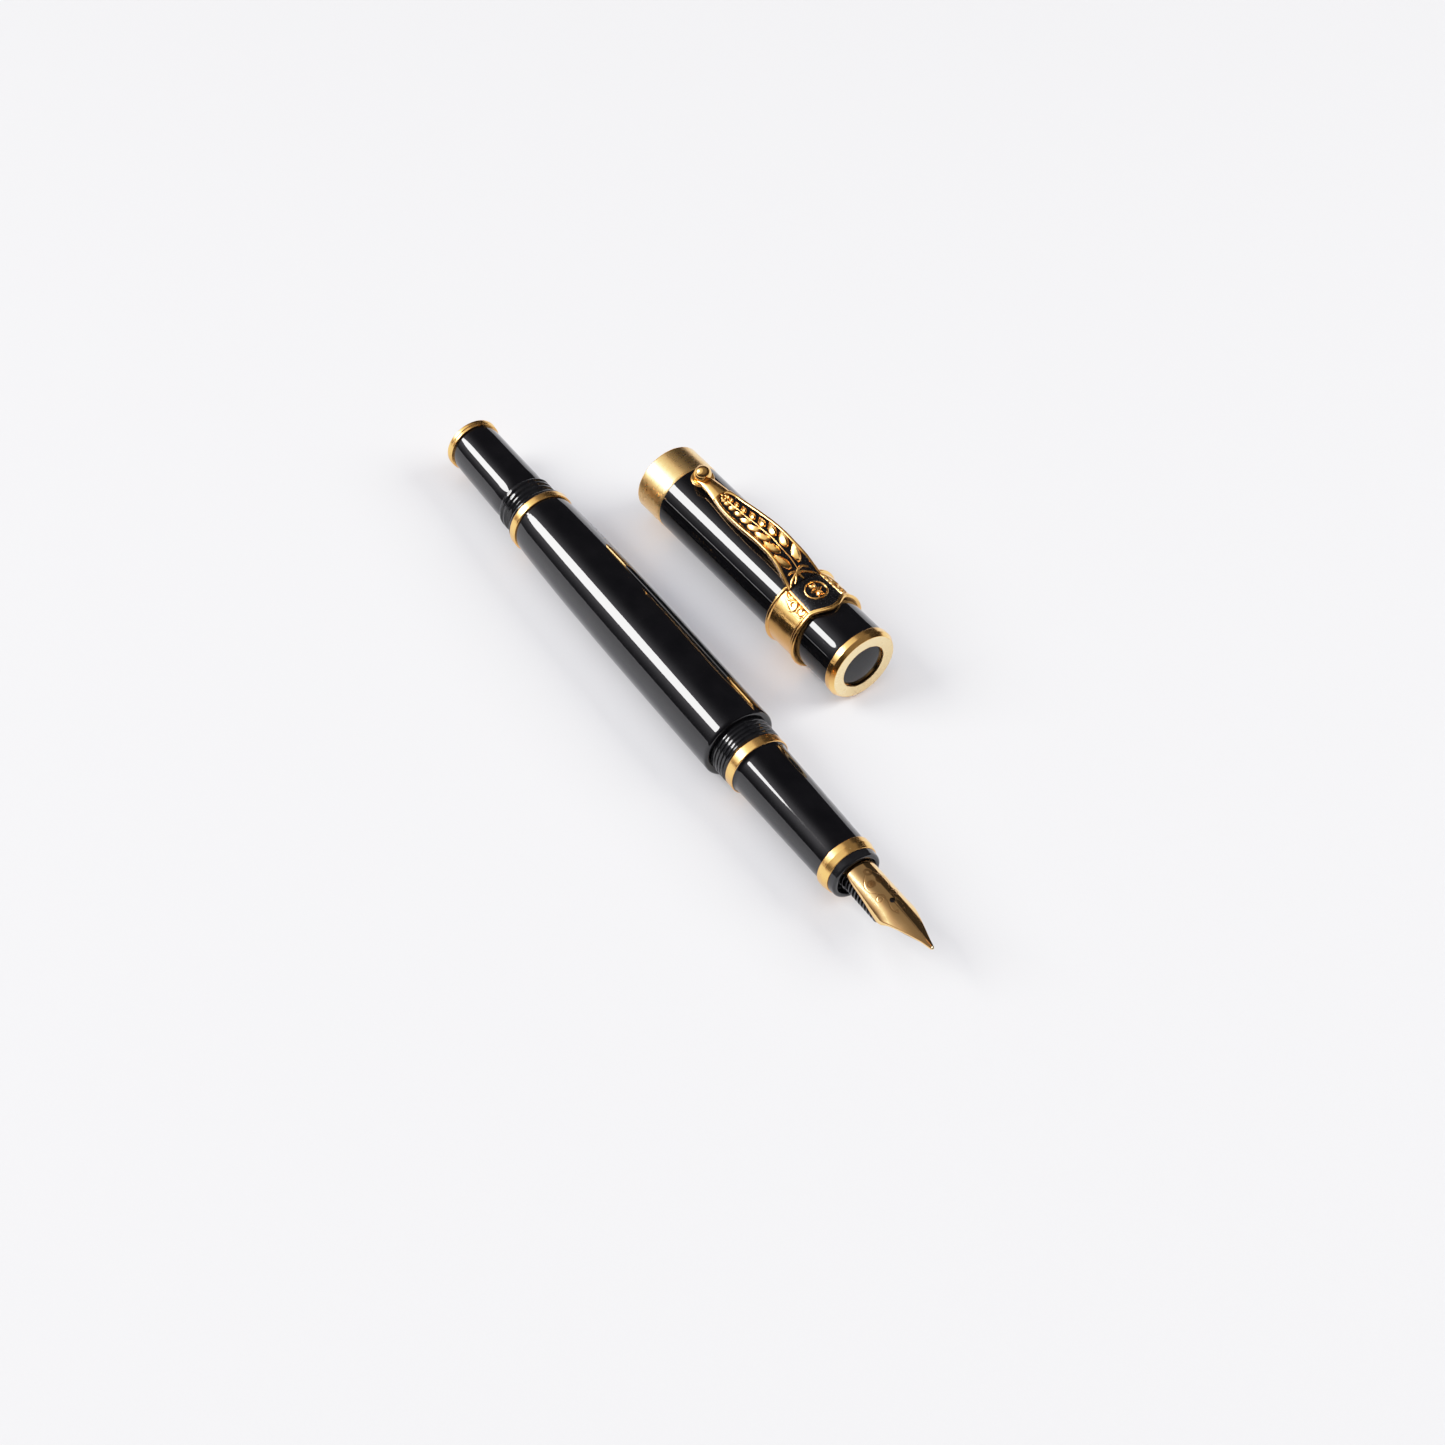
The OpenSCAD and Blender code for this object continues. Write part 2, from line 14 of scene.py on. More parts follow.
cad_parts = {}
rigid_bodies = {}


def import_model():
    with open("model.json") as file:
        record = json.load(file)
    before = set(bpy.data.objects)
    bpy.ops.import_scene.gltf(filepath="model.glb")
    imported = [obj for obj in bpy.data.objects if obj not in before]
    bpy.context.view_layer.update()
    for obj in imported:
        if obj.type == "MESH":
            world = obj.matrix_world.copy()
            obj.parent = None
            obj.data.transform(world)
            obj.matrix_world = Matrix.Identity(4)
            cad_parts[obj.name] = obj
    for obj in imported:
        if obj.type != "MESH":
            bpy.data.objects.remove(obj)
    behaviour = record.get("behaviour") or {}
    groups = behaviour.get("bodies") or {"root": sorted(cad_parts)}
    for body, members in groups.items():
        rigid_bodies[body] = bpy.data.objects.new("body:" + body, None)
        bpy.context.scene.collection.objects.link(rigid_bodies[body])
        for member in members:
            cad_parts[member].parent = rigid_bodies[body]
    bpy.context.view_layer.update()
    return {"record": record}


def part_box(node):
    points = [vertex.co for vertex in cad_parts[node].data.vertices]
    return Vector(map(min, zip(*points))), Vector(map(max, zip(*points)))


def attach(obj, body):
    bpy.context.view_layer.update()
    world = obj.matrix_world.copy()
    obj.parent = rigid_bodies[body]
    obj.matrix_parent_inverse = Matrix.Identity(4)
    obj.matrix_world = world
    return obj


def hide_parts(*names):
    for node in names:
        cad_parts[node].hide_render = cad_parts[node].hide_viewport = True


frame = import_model()
MM = 0.001
mounts = {m["name"]: m for m in frame["record"]["mounts"]}

# ------------------------------------------------------------------ frames

CAP_LEN = 55.2
NIB_TURN = -4.5
CAP_AXIS = Vector(mounts["finial_face"]["axis"])
CAP_YAW = math.atan2(CAP_AXIS.y, CAP_AXIS.x)


def pen_frame():
    low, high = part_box("barrel_tube")
    return Matrix.Translation((high.x, (low.y + high.y) / 2, (low.z + high.z) / 2))


def cap_frame():
    mouth = Vector(mounts["finial_face"]["pos_m"]) - CAP_AXIS * CAP_LEN * MM
    mouth.z = mounts["cap_bore"]["pos_m"][2]
    return Matrix.Translation(mouth) @ Matrix.Rotation(CAP_YAW, 4, "Z")


PEN = pen_frame()
NIB = PEN @ Matrix.Rotation(math.radians(NIB_TURN), 4, "X")
CAP = cap_frame()

# ------------------------------------------------------------------ materials


def math_node(tree, operation, a, b=0.0):
    """The output of a math node, each input a number or another node's output."""
    node = tree.nodes.new("ShaderNodeMath")
    node.operation = operation
    for socket, value in zip(node.inputs, (a, b)):
        if isinstance(value, (int, float)):
            socket.default_value = value
        else:
            tree.links.new(value, socket)
    return node.outputs[0]


class Shader:
    """Shorthand for a material's nodes."""

    def __init__(self, name, yaw=0.0):
        self.mat = bpy.data.materials.new(name)
        self.mat.use_nodes = True
        self.tree = self.mat.node_tree
        self.bsdf = next(n for n in self.tree.nodes if n.type == "BSDF_PRINCIPLED")
        coords = self.add("ShaderNodeTexCoord")
        turn = self.add("ShaderNodeMapping")
        turn.inputs["Rotation"].default_value = (0, 0, -yaw)
        turn.inputs["Scale"].default_value = (1 / MM, 1 / MM, 1 / MM)
        self.link(coords.outputs["Object"], turn.inputs["Vector"])
        self.place = turn.outputs["Vector"]

    def add(self, kind, **values):
        node = self.tree.nodes.new(kind)
        for key, value in values.items():
            setattr(node, key, value)
        return node

    def link(self, a, b):
        self.tree.links.new(a, b)

    def set(self, **values):
        for key, value in values.items():
            self.bsdf.inputs[key.replace("_", " ")].default_value = value

    def stretched(self, x, y, z):
        node = self.add("ShaderNodeVectorMath", operation="MULTIPLY")
        node.inputs[1].default_value = (x, y, z)
        self.link(self.place, node.inputs[0])
        return node.outputs[0]

    def noise(self, scale, detail=3.0, rough=0.55, vector=None):
        node = self.add("ShaderNodeTexNoise")
        node.inputs["Scale"].default_value = scale
        node.inputs["Detail"].default_value = detail
        node.inputs["Roughness"].default_value = rough
        self.link(vector or self.place, node.inputs["Vector"])
        return node.outputs["Fac"]

    def ramp(self, value, low, high, from_low=0.3, from_high=0.7):
        node = self.add("ShaderNodeMapRange")
        self.link(value, node.inputs["Value"])
        for key, number in (
            ("From Min", from_low), ("From Max", from_high), ("To Min", low), ("To Max", high)
        ):
            node.inputs[key].default_value = number
        return node.outputs[0]

    def math(self, operation, a, b):
        return math_node(self.tree, operation, a, b)

    def mix(self, factor, a, b):
        node = self.add("ShaderNodeMix", data_type="RGBA")
        self.link(factor, node.inputs["Factor"])
        for socket, value in ((node.inputs[6], a), (node.inputs[7], b)):
            if isinstance(value, tuple):
                socket.default_value = (*value, 1)
            else:
                self.link(value, socket)
        return node.outputs[2]

    def shaded_hollow(self):
        """How deep a point lies in engraving or a crevice, stored on the mesh by the shape code; gold is
        painted darker there as shade.
        """
        node = self.add("ShaderNodeAttribute", attribute_name="shaded_hollow")
        return node.outputs["Fac"]

    def bump(self, heights):
        """Bumps laid over one another: (height 0..1, depth in mm)."""
        normal = None
        for height, depth in heights:
            node = self.add("ShaderNodeBump")
            node.inputs["Strength"].default_value = 1.0
            node.inputs["Distance"].default_value = depth * MM
            self.link(height, node.inputs["Height"])
            if normal:
                self.link(normal, node.inputs["Normal"])
            normal = node.outputs["Normal"]
        self.link(normal, self.bsdf.inputs["Normal"])

    def colour(self, value):
        self.link(value, self.bsdf.inputs["Base Color"])

    def rough(self, value):
        self.link(value, self.bsdf.inputs["Roughness"])


def gold(name, base, shade, rough, brush, yaw=0.0, lines=0.0):
    """Plated gold, painted darker in engraving and crevices as shade. brush gives the density of its fine
    polishing lines along x, y and z, per mm.
    """
    s = Shader(name, yaw)
    s.set(Metallic=1.0, IOR=1.45)
    cloud = s.noise(0.35, 4)
    smear = s.noise(1.7, 3, vector=s.stretched(1.0, 0.6, 0.6))
    brushed = s.noise(1.0, 2, 0.7, vector=s.stretched(*brush))
    tone = s.mix(s.ramp(cloud, 0.0, 0.45), base, shade)
    # Engraving and crevices get a darker colour: painted shade in the hollows
    painted_shade_colour = tuple(c * k for c, k in zip(shade, (0.30, 0.22, 0.16)))
    s.colour(s.mix(s.shaded_hollow(), tone, painted_shade_colour))
    low, high = rough
    worn = s.ramp(smear, low, high)
    s.rough(s.math("ADD", worn, s.math("MULTIPLY", s.shaded_hollow(), 0.25)))
    s.bump([(brushed, 0.0006 + lines), (s.noise(0.5, 2), 0.0012)])
    return s.mat


def lacquer(name, yaw=0.0, gloss=0.5):
    s = Shader(name, yaw)
    s.set(IOR=1.5, Specular_IOR_Level=gloss)
    depth = s.noise(0.22, 3)
    s.colour(s.mix(s.ramp(depth, 0, 1), (0.0022, 0.0022, 0.0028), (0.0042, 0.004, 0.0048)))
    hairs = s.noise(1.0, 2, 0.75, vector=s.stretched(0.5, 9, 9))
    dust = s.ramp(s.noise(2.6, 1), 0.0, 1.0, 0.74, 0.80)
    s.rough(s.math("ADD", s.ramp(s.noise(0.6, 3), 0.02, 0.05), s.math("MULTIPLY", dust, 0.2)))
    s.bump([(hairs, 0.00025), (s.noise(0.45, 2), 0.0016)])
    return s.mat


def resin(name):
    s = Shader(name)
    s.set(IOR=1.5)
    s.colour(s.mix(s.ramp(s.noise(0.5, 3), 0, 1), (0.005, 0.005, 0.006), (0.011, 0.011, 0.012)))
    s.rough(s.ramp(s.noise(1.8, 3), 0.05, 0.13))
    s.bump([(s.noise(5.0, 2), 0.0008), (s.noise(0.8, 2), 0.003)])
    return s.mat


def enamel(name, yaw):
    s = Shader(name, yaw)
    s.set(IOR=1.5, Coat_Weight=0.6, Coat_Roughness=0.05)
    s.colour(s.mix(s.ramp(s.noise(1.6, 3), 0, 1), (0.0025, 0.0025, 0.003), (0.007, 0.0065, 0.007)))
    s.rough(s.ramp(s.noise(2.4, 4), 0.12, 0.34))
    s.bump([(s.noise(3.2, 3), 0.012), (s.noise(14.0, 2), 0.002)])
    return s.mat


def steel(name, base, rough, brush):
    s = Shader(name)
    s.set(Metallic=1.0, IOR=1.45)
    s.colour(s.mix(s.ramp(s.noise(0.8, 3), 0, 1), base, tuple(c * 0.8 for c in base)))
    s.rough(s.ramp(s.noise(2.0, 3), *rough))
    s.bump([(s.noise(1.0, 2, 0.7, vector=s.stretched(*brush)), 0.001)])
    return s.mat


def plastic(name, a, b, rough, clear=0.0):
    s = Shader(name)
    s.set(IOR=1.49, Transmission_Weight=clear)
    s.colour(s.mix(s.ramp(s.noise(0.9, 3), 0, 1), a, b))
    s.rough(s.ramp(s.noise(2.2, 3), *rough))
    s.bump([(s.noise(6.0, 2), 0.001)])
    return s.mat


GOLD = (1.0, 0.56, 0.185)
GOLD_WARM = (0.97, 0.50, 0.14)
NIB_GOLD = (0.98, 0.59, 0.25)
NIB_WARM = (0.93, 0.51, 0.19)

mat = {
    "lacquer": lacquer("black_lacquer"),
    "lacquer_cap": lacquer("black_lacquer_cap", CAP_YAW),
    "disc": lacquer("black_disc", CAP_YAW, 0.3),
    "resin": resin("black_resin"),
    "gold": gold("polished_gold", GOLD, GOLD_WARM, (0.20, 0.28), (5, 0.4, 0.4), 0.0, 0.0006),
    "gold_cap": gold("polished_gold_cap", GOLD, GOLD_WARM, (0.18, 0.26), (5, 0.4, 0.4), CAP_YAW, 0.0004),
    "gold_clip": gold("polished_gold_clip", GOLD, GOLD_WARM, (0.17, 0.26), (1.0, 6, 6), CAP_YAW),
    "satin": gold(
        "satin_gold", (1.0, 0.63, 0.26), (0.98, 0.57, 0.21), (0.25, 0.33), (5, 0.3, 0.3), CAP_YAW, 0.001
    ),
    "face": gold(
        "pale_satin_gold", (1.0, 0.74, 0.40), (0.99, 0.68, 0.33), (0.25, 0.33), (1, 5, 5), CAP_YAW
    ),
    "nib": gold("nib_gold", NIB_GOLD, NIB_WARM, (0.09, 0.14), (0.12, 5, 5), 0.0, 0.0016),
    "enamel": enamel("black_enamel", CAP_YAW),
    "tip": steel("tipping_alloy", (0.80, 0.64, 0.40), (0.15, 0.3), (6, 6, 6)),
    "brass": gold("thread_brass", (0.80, 0.58, 0.26), (0.66, 0.45, 0.18), (0.16, 0.3), (12, 1, 1)),
    "steel": steel("steel", (0.72, 0.72, 0.74), (0.14, 0.28), (12, 1, 1)),
    "clear": plastic("clear_plastic", (0.93, 0.96, 0.98), (0.86, 0.92, 0.95), (0.03, 0.09), 1.0),
    "white": plastic("white_plastic", (0.80, 0.80, 0.77), (0.70, 0.70, 0.66), (0.32, 0.48)),
    "rubber": plastic("seal_rubber", (0.016, 0.016, 0.017), (0.028, 0.028, 0.029), (0.42, 0.6)),
}

# The record's slot that each look belongs to
SLOTS = {
    "lacquer": "black_lacquer", "lacquer_cap": "black_lacquer", "disc": "black_enamel",
    "enamel": "black_enamel", "resin": "black_resin", "gold": "polished_gold", "gold_cap": "polished_gold",
    "gold_clip": "polished_gold", "satin": "polished_gold", "face": "satin_gold", "nib": "nib_gold",
    "tip": "tipping_alloy", "brass": "thread_brass", "steel": "steel", "clear": "clear_plastic",
    "white": "white_plastic", "rubber": "seal_rubber",
}

# ------------------------------------------------------------------ mesh helpers


# Which pieces the scrims light: all the metal, and all of it but the nib
gilded = bpy.data.collections.new("gilded")
banded = bpy.data.collections.new("banded")


def build(name, verts, faces, place, look, body, replaced=None, sharp=38.0, shaded_hollow=None):
    """A piece from vertices in mm in its own frame, riding on a CAD body.
    It replaces the CAD piece of its own name unless another is given."""
    co = np.asarray(verts, float) * MM
    world = co @ np.array(place.to_3x3()).T + np.array(place.translation)
    mesh = bpy.data.meshes.new(name)
    mesh.from_pydata(world.tolist(), [], faces)
    # The engraving mask, where the gold paints shade into its colour
    if shaded_hollow is not None:
        layer = mesh.attributes.new("shaded_hollow", "FLOAT", "POINT")
        layer.data.foreach_set("value", np.asarray(shaded_hollow, np.float32))
    bm = bmesh.new()
    bm.from_mesh(mesh)
    bmesh.ops.remove_doubles(bm, verts=bm.verts, dist=2e-7)
    bmesh.ops.dissolve_degenerate(bm, edges=bm.edges, dist=1e-8)
    bmesh.ops.recalc_face_normals(bm, faces=bm.faces)
    bm.to_mesh(mesh)
    bm.free()
    mesh.shade_smooth()
    mesh.set_sharp_from_angle(angle=math.radians(sharp))
    piece = bpy.data.objects.new(name, mesh)
    bpy.context.scene.collection.objects.link(piece)
    mesh.materials.append(mat[look])
    slot = SLOTS[look]
    if "gold" in slot or slot in ("tipping_alloy", "thread_brass", "steel"):
        gilded.objects.link(piece)
        if slot != "nib_gold":
            banded.objects.link(piece)
    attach(piece, body)
    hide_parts(replaced or name)
    return piece


def rounded(points, steps=5):
    """A closed outline from corners (a, b, radius), each rounded to its radius, with support points."""
    out = []
    n = len(points)
    for i, corner in enumerate(points):
        p = np.array(corner[:2], float)
        radius = corner[2] if len(corner) > 2 else 0.0
        before = np.array(points[i - 1][:2], float) - p
        after = np.array(points[(i + 1) % n][:2], float) - p
        la, lb = np.linalg.norm(before), np.linalg.norm(after)
        if radius <= 0 or la < 1e-9 or lb < 1e-9:
            out.append(p)
            continue
        ua, ub = before / la, after / lb
        half = math.acos(max(-1, min(1, float(ua @ ub)))) / 2
        if half >= math.pi / 2 - 1e-4:
            out.append(p)
            continue
        reach = min(radius / max(math.tan(half), 1e-6), la * 0.49, lb * 0.49)
        centre = p + (ua + ub) / np.linalg.norm(ua + ub) * (reach / math.cos(half))
        start, end = p + ua * reach, p + ub * reach
        r = np.linalg.norm(start - centre)
        a0 = math.atan2(*(start - centre)[::-1])
        a1 = math.atan2(*(end - centre)[::-1])
        turn = (a1 - a0 + math.pi) % (2 * math.pi) - math.pi
        for k in range(steps + 1):
            a = a0 + turn * k / steps
            out.append(centre + r * np.array([math.cos(a), math.sin(a)]))
    full = []
    for i, p in enumerate(out):
        q = out[(i + 1) % len(out)]
        full.append(tuple(p))
        gap = np.linalg.norm(q - p)
        if gap > 0.5:
            for share in (0.08 / gap, 1 - 0.08 / gap):
                full.append(tuple(p + (q - p) * share))
    return full


def grid_faces(rows, cols, first=0, wrap=False, flip=False):
    faces = []
    for i in range(rows - 1):
        for k in range(cols if wrap else cols - 1):
            m = (k + 1) % cols
            quad = (
                first + i * cols + k, first + (i + 1) * cols + k, first + (i + 1) * cols + m,
                first + i * cols + m
            )
            faces.append(quad[::-1] if flip else quad)
    return faces


def round_angles(n):
    return np.arange(n) * 2 * math.pi / n


FINE, COARSE = round_angles(160), round_angles(64)


def rows_to_mesh(rows, angles):
    """A closed skin round the axis from rows of (x, r), each a number or one value per angle."""
    n = len(angles)
    verts = []
    for row in rows:
        x, r = (np.broadcast_to(np.asarray(value, float), n) for value in row)
        verts.append(np.stack([x, r * np.sin(angles), r * np.cos(angles)], 1))
    count = len(rows) * n
    faces = [tuple(k % count for k in face) for face in grid_faces(len(rows) + 1, n, wrap=True)]
    return np.concatenate(verts), faces


def upright(rows, seg, at=(0, 0, 0)):
    """A turned shape that stands on its axis, from rows of (height, radius)."""
    verts, faces = rows_to_mesh(rows, round_angles(seg))
    return verts[:, [1, 2, 0]] + at, faces


def shell_faces(rows, cols, joined=0):
    """Faces of a closed plate: an upper grid, a lower one and the walls between them.
    The first joined rows have no wall along their inner side, where a mirrored half meets them."""
    n = rows * cols
    faces = grid_faces(rows, cols) + grid_faces(rows, cols, first=n, flip=True)
    walls = [(i * cols, (i + 1) * cols) for i in range(joined, rows - 1)]
    walls += [(i * cols + cols - 1, (i + 1) * cols + cols - 1) for i in range(rows - 1)]
    walls += [(i * cols + k, i * cols + k + 1) for i in (0, rows - 1) for k in range(cols - 1)]
    return faces + [(a, b, b + n, a + n) for a, b in walls]


def smoothstep(t):
    t = np.clip(t, 0, 1)
    return t * t * (3 - 2 * t)


def curve_value(points, x):
    """Smooth value at x through (x, y) points (Catmull-Rom)."""
    p = np.asarray(points, float)
    xs, ys = p[:, 0], p[:, 1]
    slope = np.gradient(ys, xs)
    x = np.clip(np.asarray(x, float), xs[0], xs[-1])
    i = np.clip(np.searchsorted(xs, x, side="right") - 1, 0, len(xs) - 2)
    h = xs[i + 1] - xs[i]
    t = (x - xs[i]) / h
    return (
        (2 * t**3 - 3 * t**2 + 1) * ys[i]
        + (t**3 - 2 * t**2 + t) * h * slope[i]
        + (-2 * t**3 + 3 * t**2) * ys[i + 1]
        + (t**3 - t**2) * h * slope[i + 1]
    )


def skinned(loops):
    """Closed cross-sections joined end to end, with both ends closed."""
    n = len(loops[0])
    verts = np.concatenate([np.asarray(loop, float) for loop in loops])
    faces = grid_faces(len(loops), n, wrap=True)
    faces.append(tuple(range(n))[::-1])
    faces.append(tuple((len(loops) - 1) * n + k for k in range(n)))
    return verts, faces


def merged(parts):
    """Several (verts, faces) as one."""
    verts, faces, first = [], [], 0
    for v, f in parts:
        verts.append(np.asarray(v, float))
        faces += [tuple(first + k for k in face) for face in f]
        first += len(v)
    return np.concatenate(verts), faces


def wire(points, widths, heights, ups, ring=10):
    """A rounded strip along a path, reaching widths to either side and heights above and below it."""
    p = np.asarray(points, float)
    up = np.asarray(ups, float)
    n = len(p)
    along = np.gradient(p, axis=0)
    along /= np.linalg.norm(along, axis=1)[:, None] + 1e-12
    side = np.cross(up, along)
    side /= np.linalg.norm(side, axis=1)[:, None] + 1e-12
    top = np.cross(along, side)
    widths = np.broadcast_to(widths, n)
    heights = np.broadcast_to(heights, n)
    loops = []
    for i in range(n):
        loops.append(
            [
                p[i] + side[i] * widths[i] * math.cos(a) + top[i] * heights[i] * math.sin(a)
                for a in round_angles(ring)
            ]
        )
    return skinned(loops)

# ------------------------------------------------------------------ turned parts of the pen

TAIL_END, TAIL_CAP, TAIL, POSTING, REAR = -84.2, -82.8, -66.7, -61.5, -60.0
RING_END, GRIP_END, FRONT_RING_END, LIP_END = 5.9, 28.9, 31.2, 32.7
BARREL_R = 6.7


def roll(x, at, reach, drop):
    """How far a surface falls away towards its end at a station."""
    return drop * np.clip(1 - np.abs(x - at) / reach, 0, 1) ** 2


def spaced(start, end, step):
    return np.linspace(start, end, max(2, int(round(abs(end - start) / step)) + 1))


def barrel_r(x):
    return BARREL_R - 0.85 * (1 - (x - REAR) / 59.2) ** 3.6 - roll(x, REAR, 3.0, 0.09)


def tail_r(x):
    taper = np.interp(x, (TAIL_CAP, TAIL), (4.65, 4.95))
    return taper - roll(x, TAIL_CAP, 3.0, 0.08) - roll(x, TAIL, 2.6, 0.24)


def grip_r(x):
    flare = 0.28 * (1 - np.sqrt(1 - np.clip(1 - (x - RING_END) / 0.9, 0, 1) ** 2))
    return np.interp(x, (RING_END, GRIP_END), (5.23, 4.79)) + flare - roll(x, GRIP_END, 2.2, 0.07)


def cap_tube_r(x):
    return CAP_R - roll(x, FINIAL, 1.6, 0.05) - roll(x, LIP_BAND, 0.8, 0.02)


def outline(r, start, end, step):
    return [(x, float(r(x))) for x in spaced(start, end, step)]


def turned(name, corners, look, body, place=PEN, seg=160, **more):
    """A turned piece from its closed half outline of (x, r, radius) corners."""
    build(name, *rows_to_mesh(rounded(corners), round_angles(seg)), place, look, body, **more)


turned(
    "barrel_tube",
    [(REAR, 4.9)] + outline(barrel_r, REAR, -0.8, 0.8)
    + [(-0.4, 6.69), (-0.16, 6.6), (-0.03, 6.4), (0, 6.1), (0, 5.55), (-55, 5.55), (-55, 4.9)],
    "lacquer", "barrel", seg=200,
)
turned(
    "rear_ring",
    [(POSTING, 4.9), (POSTING, 6.08, 0.2), (REAR, 6.08, 0.2), (REAR, 4.9)],
    "gold", "barrel",
)
turned(
    "tail_tube",
    [(TAIL_CAP, 4.2)] + outline(tail_r, TAIL_CAP, TAIL, 0.4) + [(TAIL, 4.2)],
    "lacquer", "barrel", seg=180,
)
turned(
    "tail_end_cap",
    [
        (-83.85, 0), (-83.85, 3.2, 0.12), (TAIL_END, 3.45, 0.1), (TAIL_END, 5.02, 0.26),
        (-83.42, 5.02, 0.12), (-83.34, 4.88, 0.04), (-83.2, 4.88, 0.04), (-83.1, 4.98, 0.07),
        (TAIL_CAP, 4.94, 0.09), (TAIL_CAP, 4.2), (-79.8, 4.2), (-79.8, 3.4), (-82.4, 3.4), (-82.4, 0),
    ],
    "gold", "barrel",
)
turned(
    "section_core",
    [
        (3, 1.05, 0.1), (3, 1.5, 0.2), (10, 1.5, 0.15), (10, 4.3), (FRONT_RING_END, 4.3),
        (FRONT_RING_END, 3.55), (14, 3.55), (14, 1.05),
    ],
    "resin", "section",
)
turned(
    "section_ring",
    [(4.05, 4.6), (4.05, 5.65, 0.16), (RING_END, 5.65, 0.16), (RING_END, 4.6)],
    "gold", "section",
)
turned(
    "grip",
    [(RING_END, 4.6)] + outline(grip_r, RING_END, 6.8, 0.06) + outline(grip_r, 7.0, GRIP_END, 0.5)
    + [(GRIP_END, 4.3), (10, 4.3), (10, 4.6)],
    "lacquer", "section", seg=180,
)
turned(
    "grip_front_ring",
    [
        (GRIP_END, 4.3), (GRIP_END, 5.14, 0.1), (30.02, 5.12, 0.1), (FRONT_RING_END, 4.86, 0.1),
        (FRONT_RING_END, 4.3),
    ],
    "gold", "section",
)
turned(
    "grip_lip",
    [
        (FRONT_RING_END, 3.7), (FRONT_RING_END, 4.7, 0.05), (LIP_END, 4.55, 0.75), (LIP_END, 3.72, 0.28),
        (32.2, 3.7),
    ],
    "resin", "section",
)

# Hidden parts inside the barrel
turned("converter_tube", [(-38, 3.0), (-38, 3.55, 0.1), (2, 3.55, 0.1), (2, 3.0)], "clear", "converter")
turned(
    "converter_mouth",
    [
        (0, 1.52, 0.1), (0, 3.0, 0.1), (2, 3.0), (2, 3.6, 0.05), (9.3, 3.6, 0.35), (9.6, 3.1, 0.1),
        (9.6, 1.52, 0.2),
    ],
    "resin", "converter",
)
turned(
    "converter_bush",
    [(-46, 2.65, 0.1), (-46, 3.55), (-38, 3.55), (-38, 1.85, 0.1), (-40.2, 1.85), (-40.2, 2.65)],
    "resin", "converter",
)
turned(
    "converter_band",
    [(-46, 3.55), (-46, 3.75, 0.08), (-36, 3.75, 0.08), (-36, 3.55)],
    "gold", "converter",
)
turned(
    "piston_rod",
    [(-30, 1.05), (-30, 1.8, 0.12), (-5, 1.8, 0.12), (-5, 0), (-6.5, 0), (-6.5, 1.05)],
    "white", "piston",
)
turned(
    "piston_seal",
    [
        (-5, 0), (-5, 2.97, 0.2), (-4, 2.97, 0.2), (-3.6, 2.5, 0.2), (-1.9, 2.5, 0.2), (-1.5, 2.97, 0.2),
        (-0.8, 2.97, 0.2), (-0.5, 1.6, 0.3), (-0.5, 0),
    ],
    "rubber", "piston",
)


def skinned_rows(name, rows, look, body, place=PEN, angles=FINE, **more):
    build(name, *rows_to_mesh(rows, angles), place, look, body, **more)


def thread_rows(start, end, crests, root, crest, angles):
    """Rows of a helical thread that runs out at both ends."""
    rows = []
    pitch = (end - start) / crests
    for x in spaced(start, end, pitch / 16):
        fade = smoothstep((x - start) / (pitch * 0.5)) * smoothstep((end - x) / (pitch * 0.5))
        wave = 0.5 - 0.5 * np.cos(2 * math.pi * (x - start) / pitch + angles)
        rows.append((x, root + (crest - root) * np.clip(1.5 * wave**1.2 - 0.12, 0, 1) * fade))
    return rows


skinned_rows(
    "barrel_thread_bush",
    [(-12, 4.65), (-12, 5.55), (0, 5.55), (0.01, 5.36)] + thread_rows(0.05, 3.95, 5, 5.36, 5.7, FINE)
    + [(4, 5.3), (4, 4.65)],
    "resin", "barrel", sharp=50,
)
skinned_rows(
    "posting_thread",
    [(-69.7, 3.9), (-69.7, 4.2), (TAIL, 4.2), (TAIL + 0.02, 4.88)]
    + thread_rows(TAIL + 0.08, -63.4, 3, 4.9, 5.3, FINE)
    + [
        (x, curve_value([(-63.4, 4.9), (-63.1, 5.05), (-62.75, 5.22), (-62.6, 5.3)], x))
        for x in spaced(-63.35, -62.62, 0.08)
    ]
    + [(-62.58, 5.12), (-62.5, 5.1), (-62.42, 5.12)]
    + [
        (-61.95 - 0.42 * math.cos(t), 5.42 + 0.42 * math.sin(t))
        for t in np.linspace(-0.25, math.pi + 0.2, 15)
    ]
    + [(POSTING, 5.3), (POSTING, 4.9), (-55, 4.9), (-55, 3.9)],
    "resin", "barrel", sharp=50,
)
skinned_rows(
    "section_sleeve",
    [(-6, 4.0), (-6, 4.3)] + thread_rows(-5.9, 1.5, 7, 4.35, 4.6, FINE)
    + [(1.6, 4.58), (1.8, 4.6), (10, 4.6), (10, 4.0)],
    "brass", "section",
)
FLUTE = np.clip(np.cos(16 * FINE), 0, 1) ** 2
skinned_rows(
    "converter_knob",
    [
        (-62, 0), (-62, 2.75), (-61.97, 2.88), (-61.8, 3.1 - 0.1 * FLUTE), (-61.6, 3.27 - 0.24 * FLUTE),
        (-61.4, 3.3 - 0.26 * FLUTE),
    ]
    + [
        (-46.8, 3.3 - 0.26 * FLUTE), (-46.5, 3.27 - 0.2 * FLUTE), (-46.3, 3.15), (-46.2, 3.0), (-46.2, 2.6),
        (-40.5, 2.6), (-40.5, 2.0), (-60.5, 2.0), (-60.5, 0),
    ],
    "resin", "knob",
)
skinned_rows(
    "converter_spindle",
    [(-60.5, 0), (-60.5, 1.0), (-58.6, 1.0)] + thread_rows(-58.5, -27.2, 16, 0.82, 1.0, COARSE)
    + [(-27, 0.8), (-27, 0)],
    "steel", "knob", angles=COARSE,
)

# ------------------------------------------------------------------ nib and feed

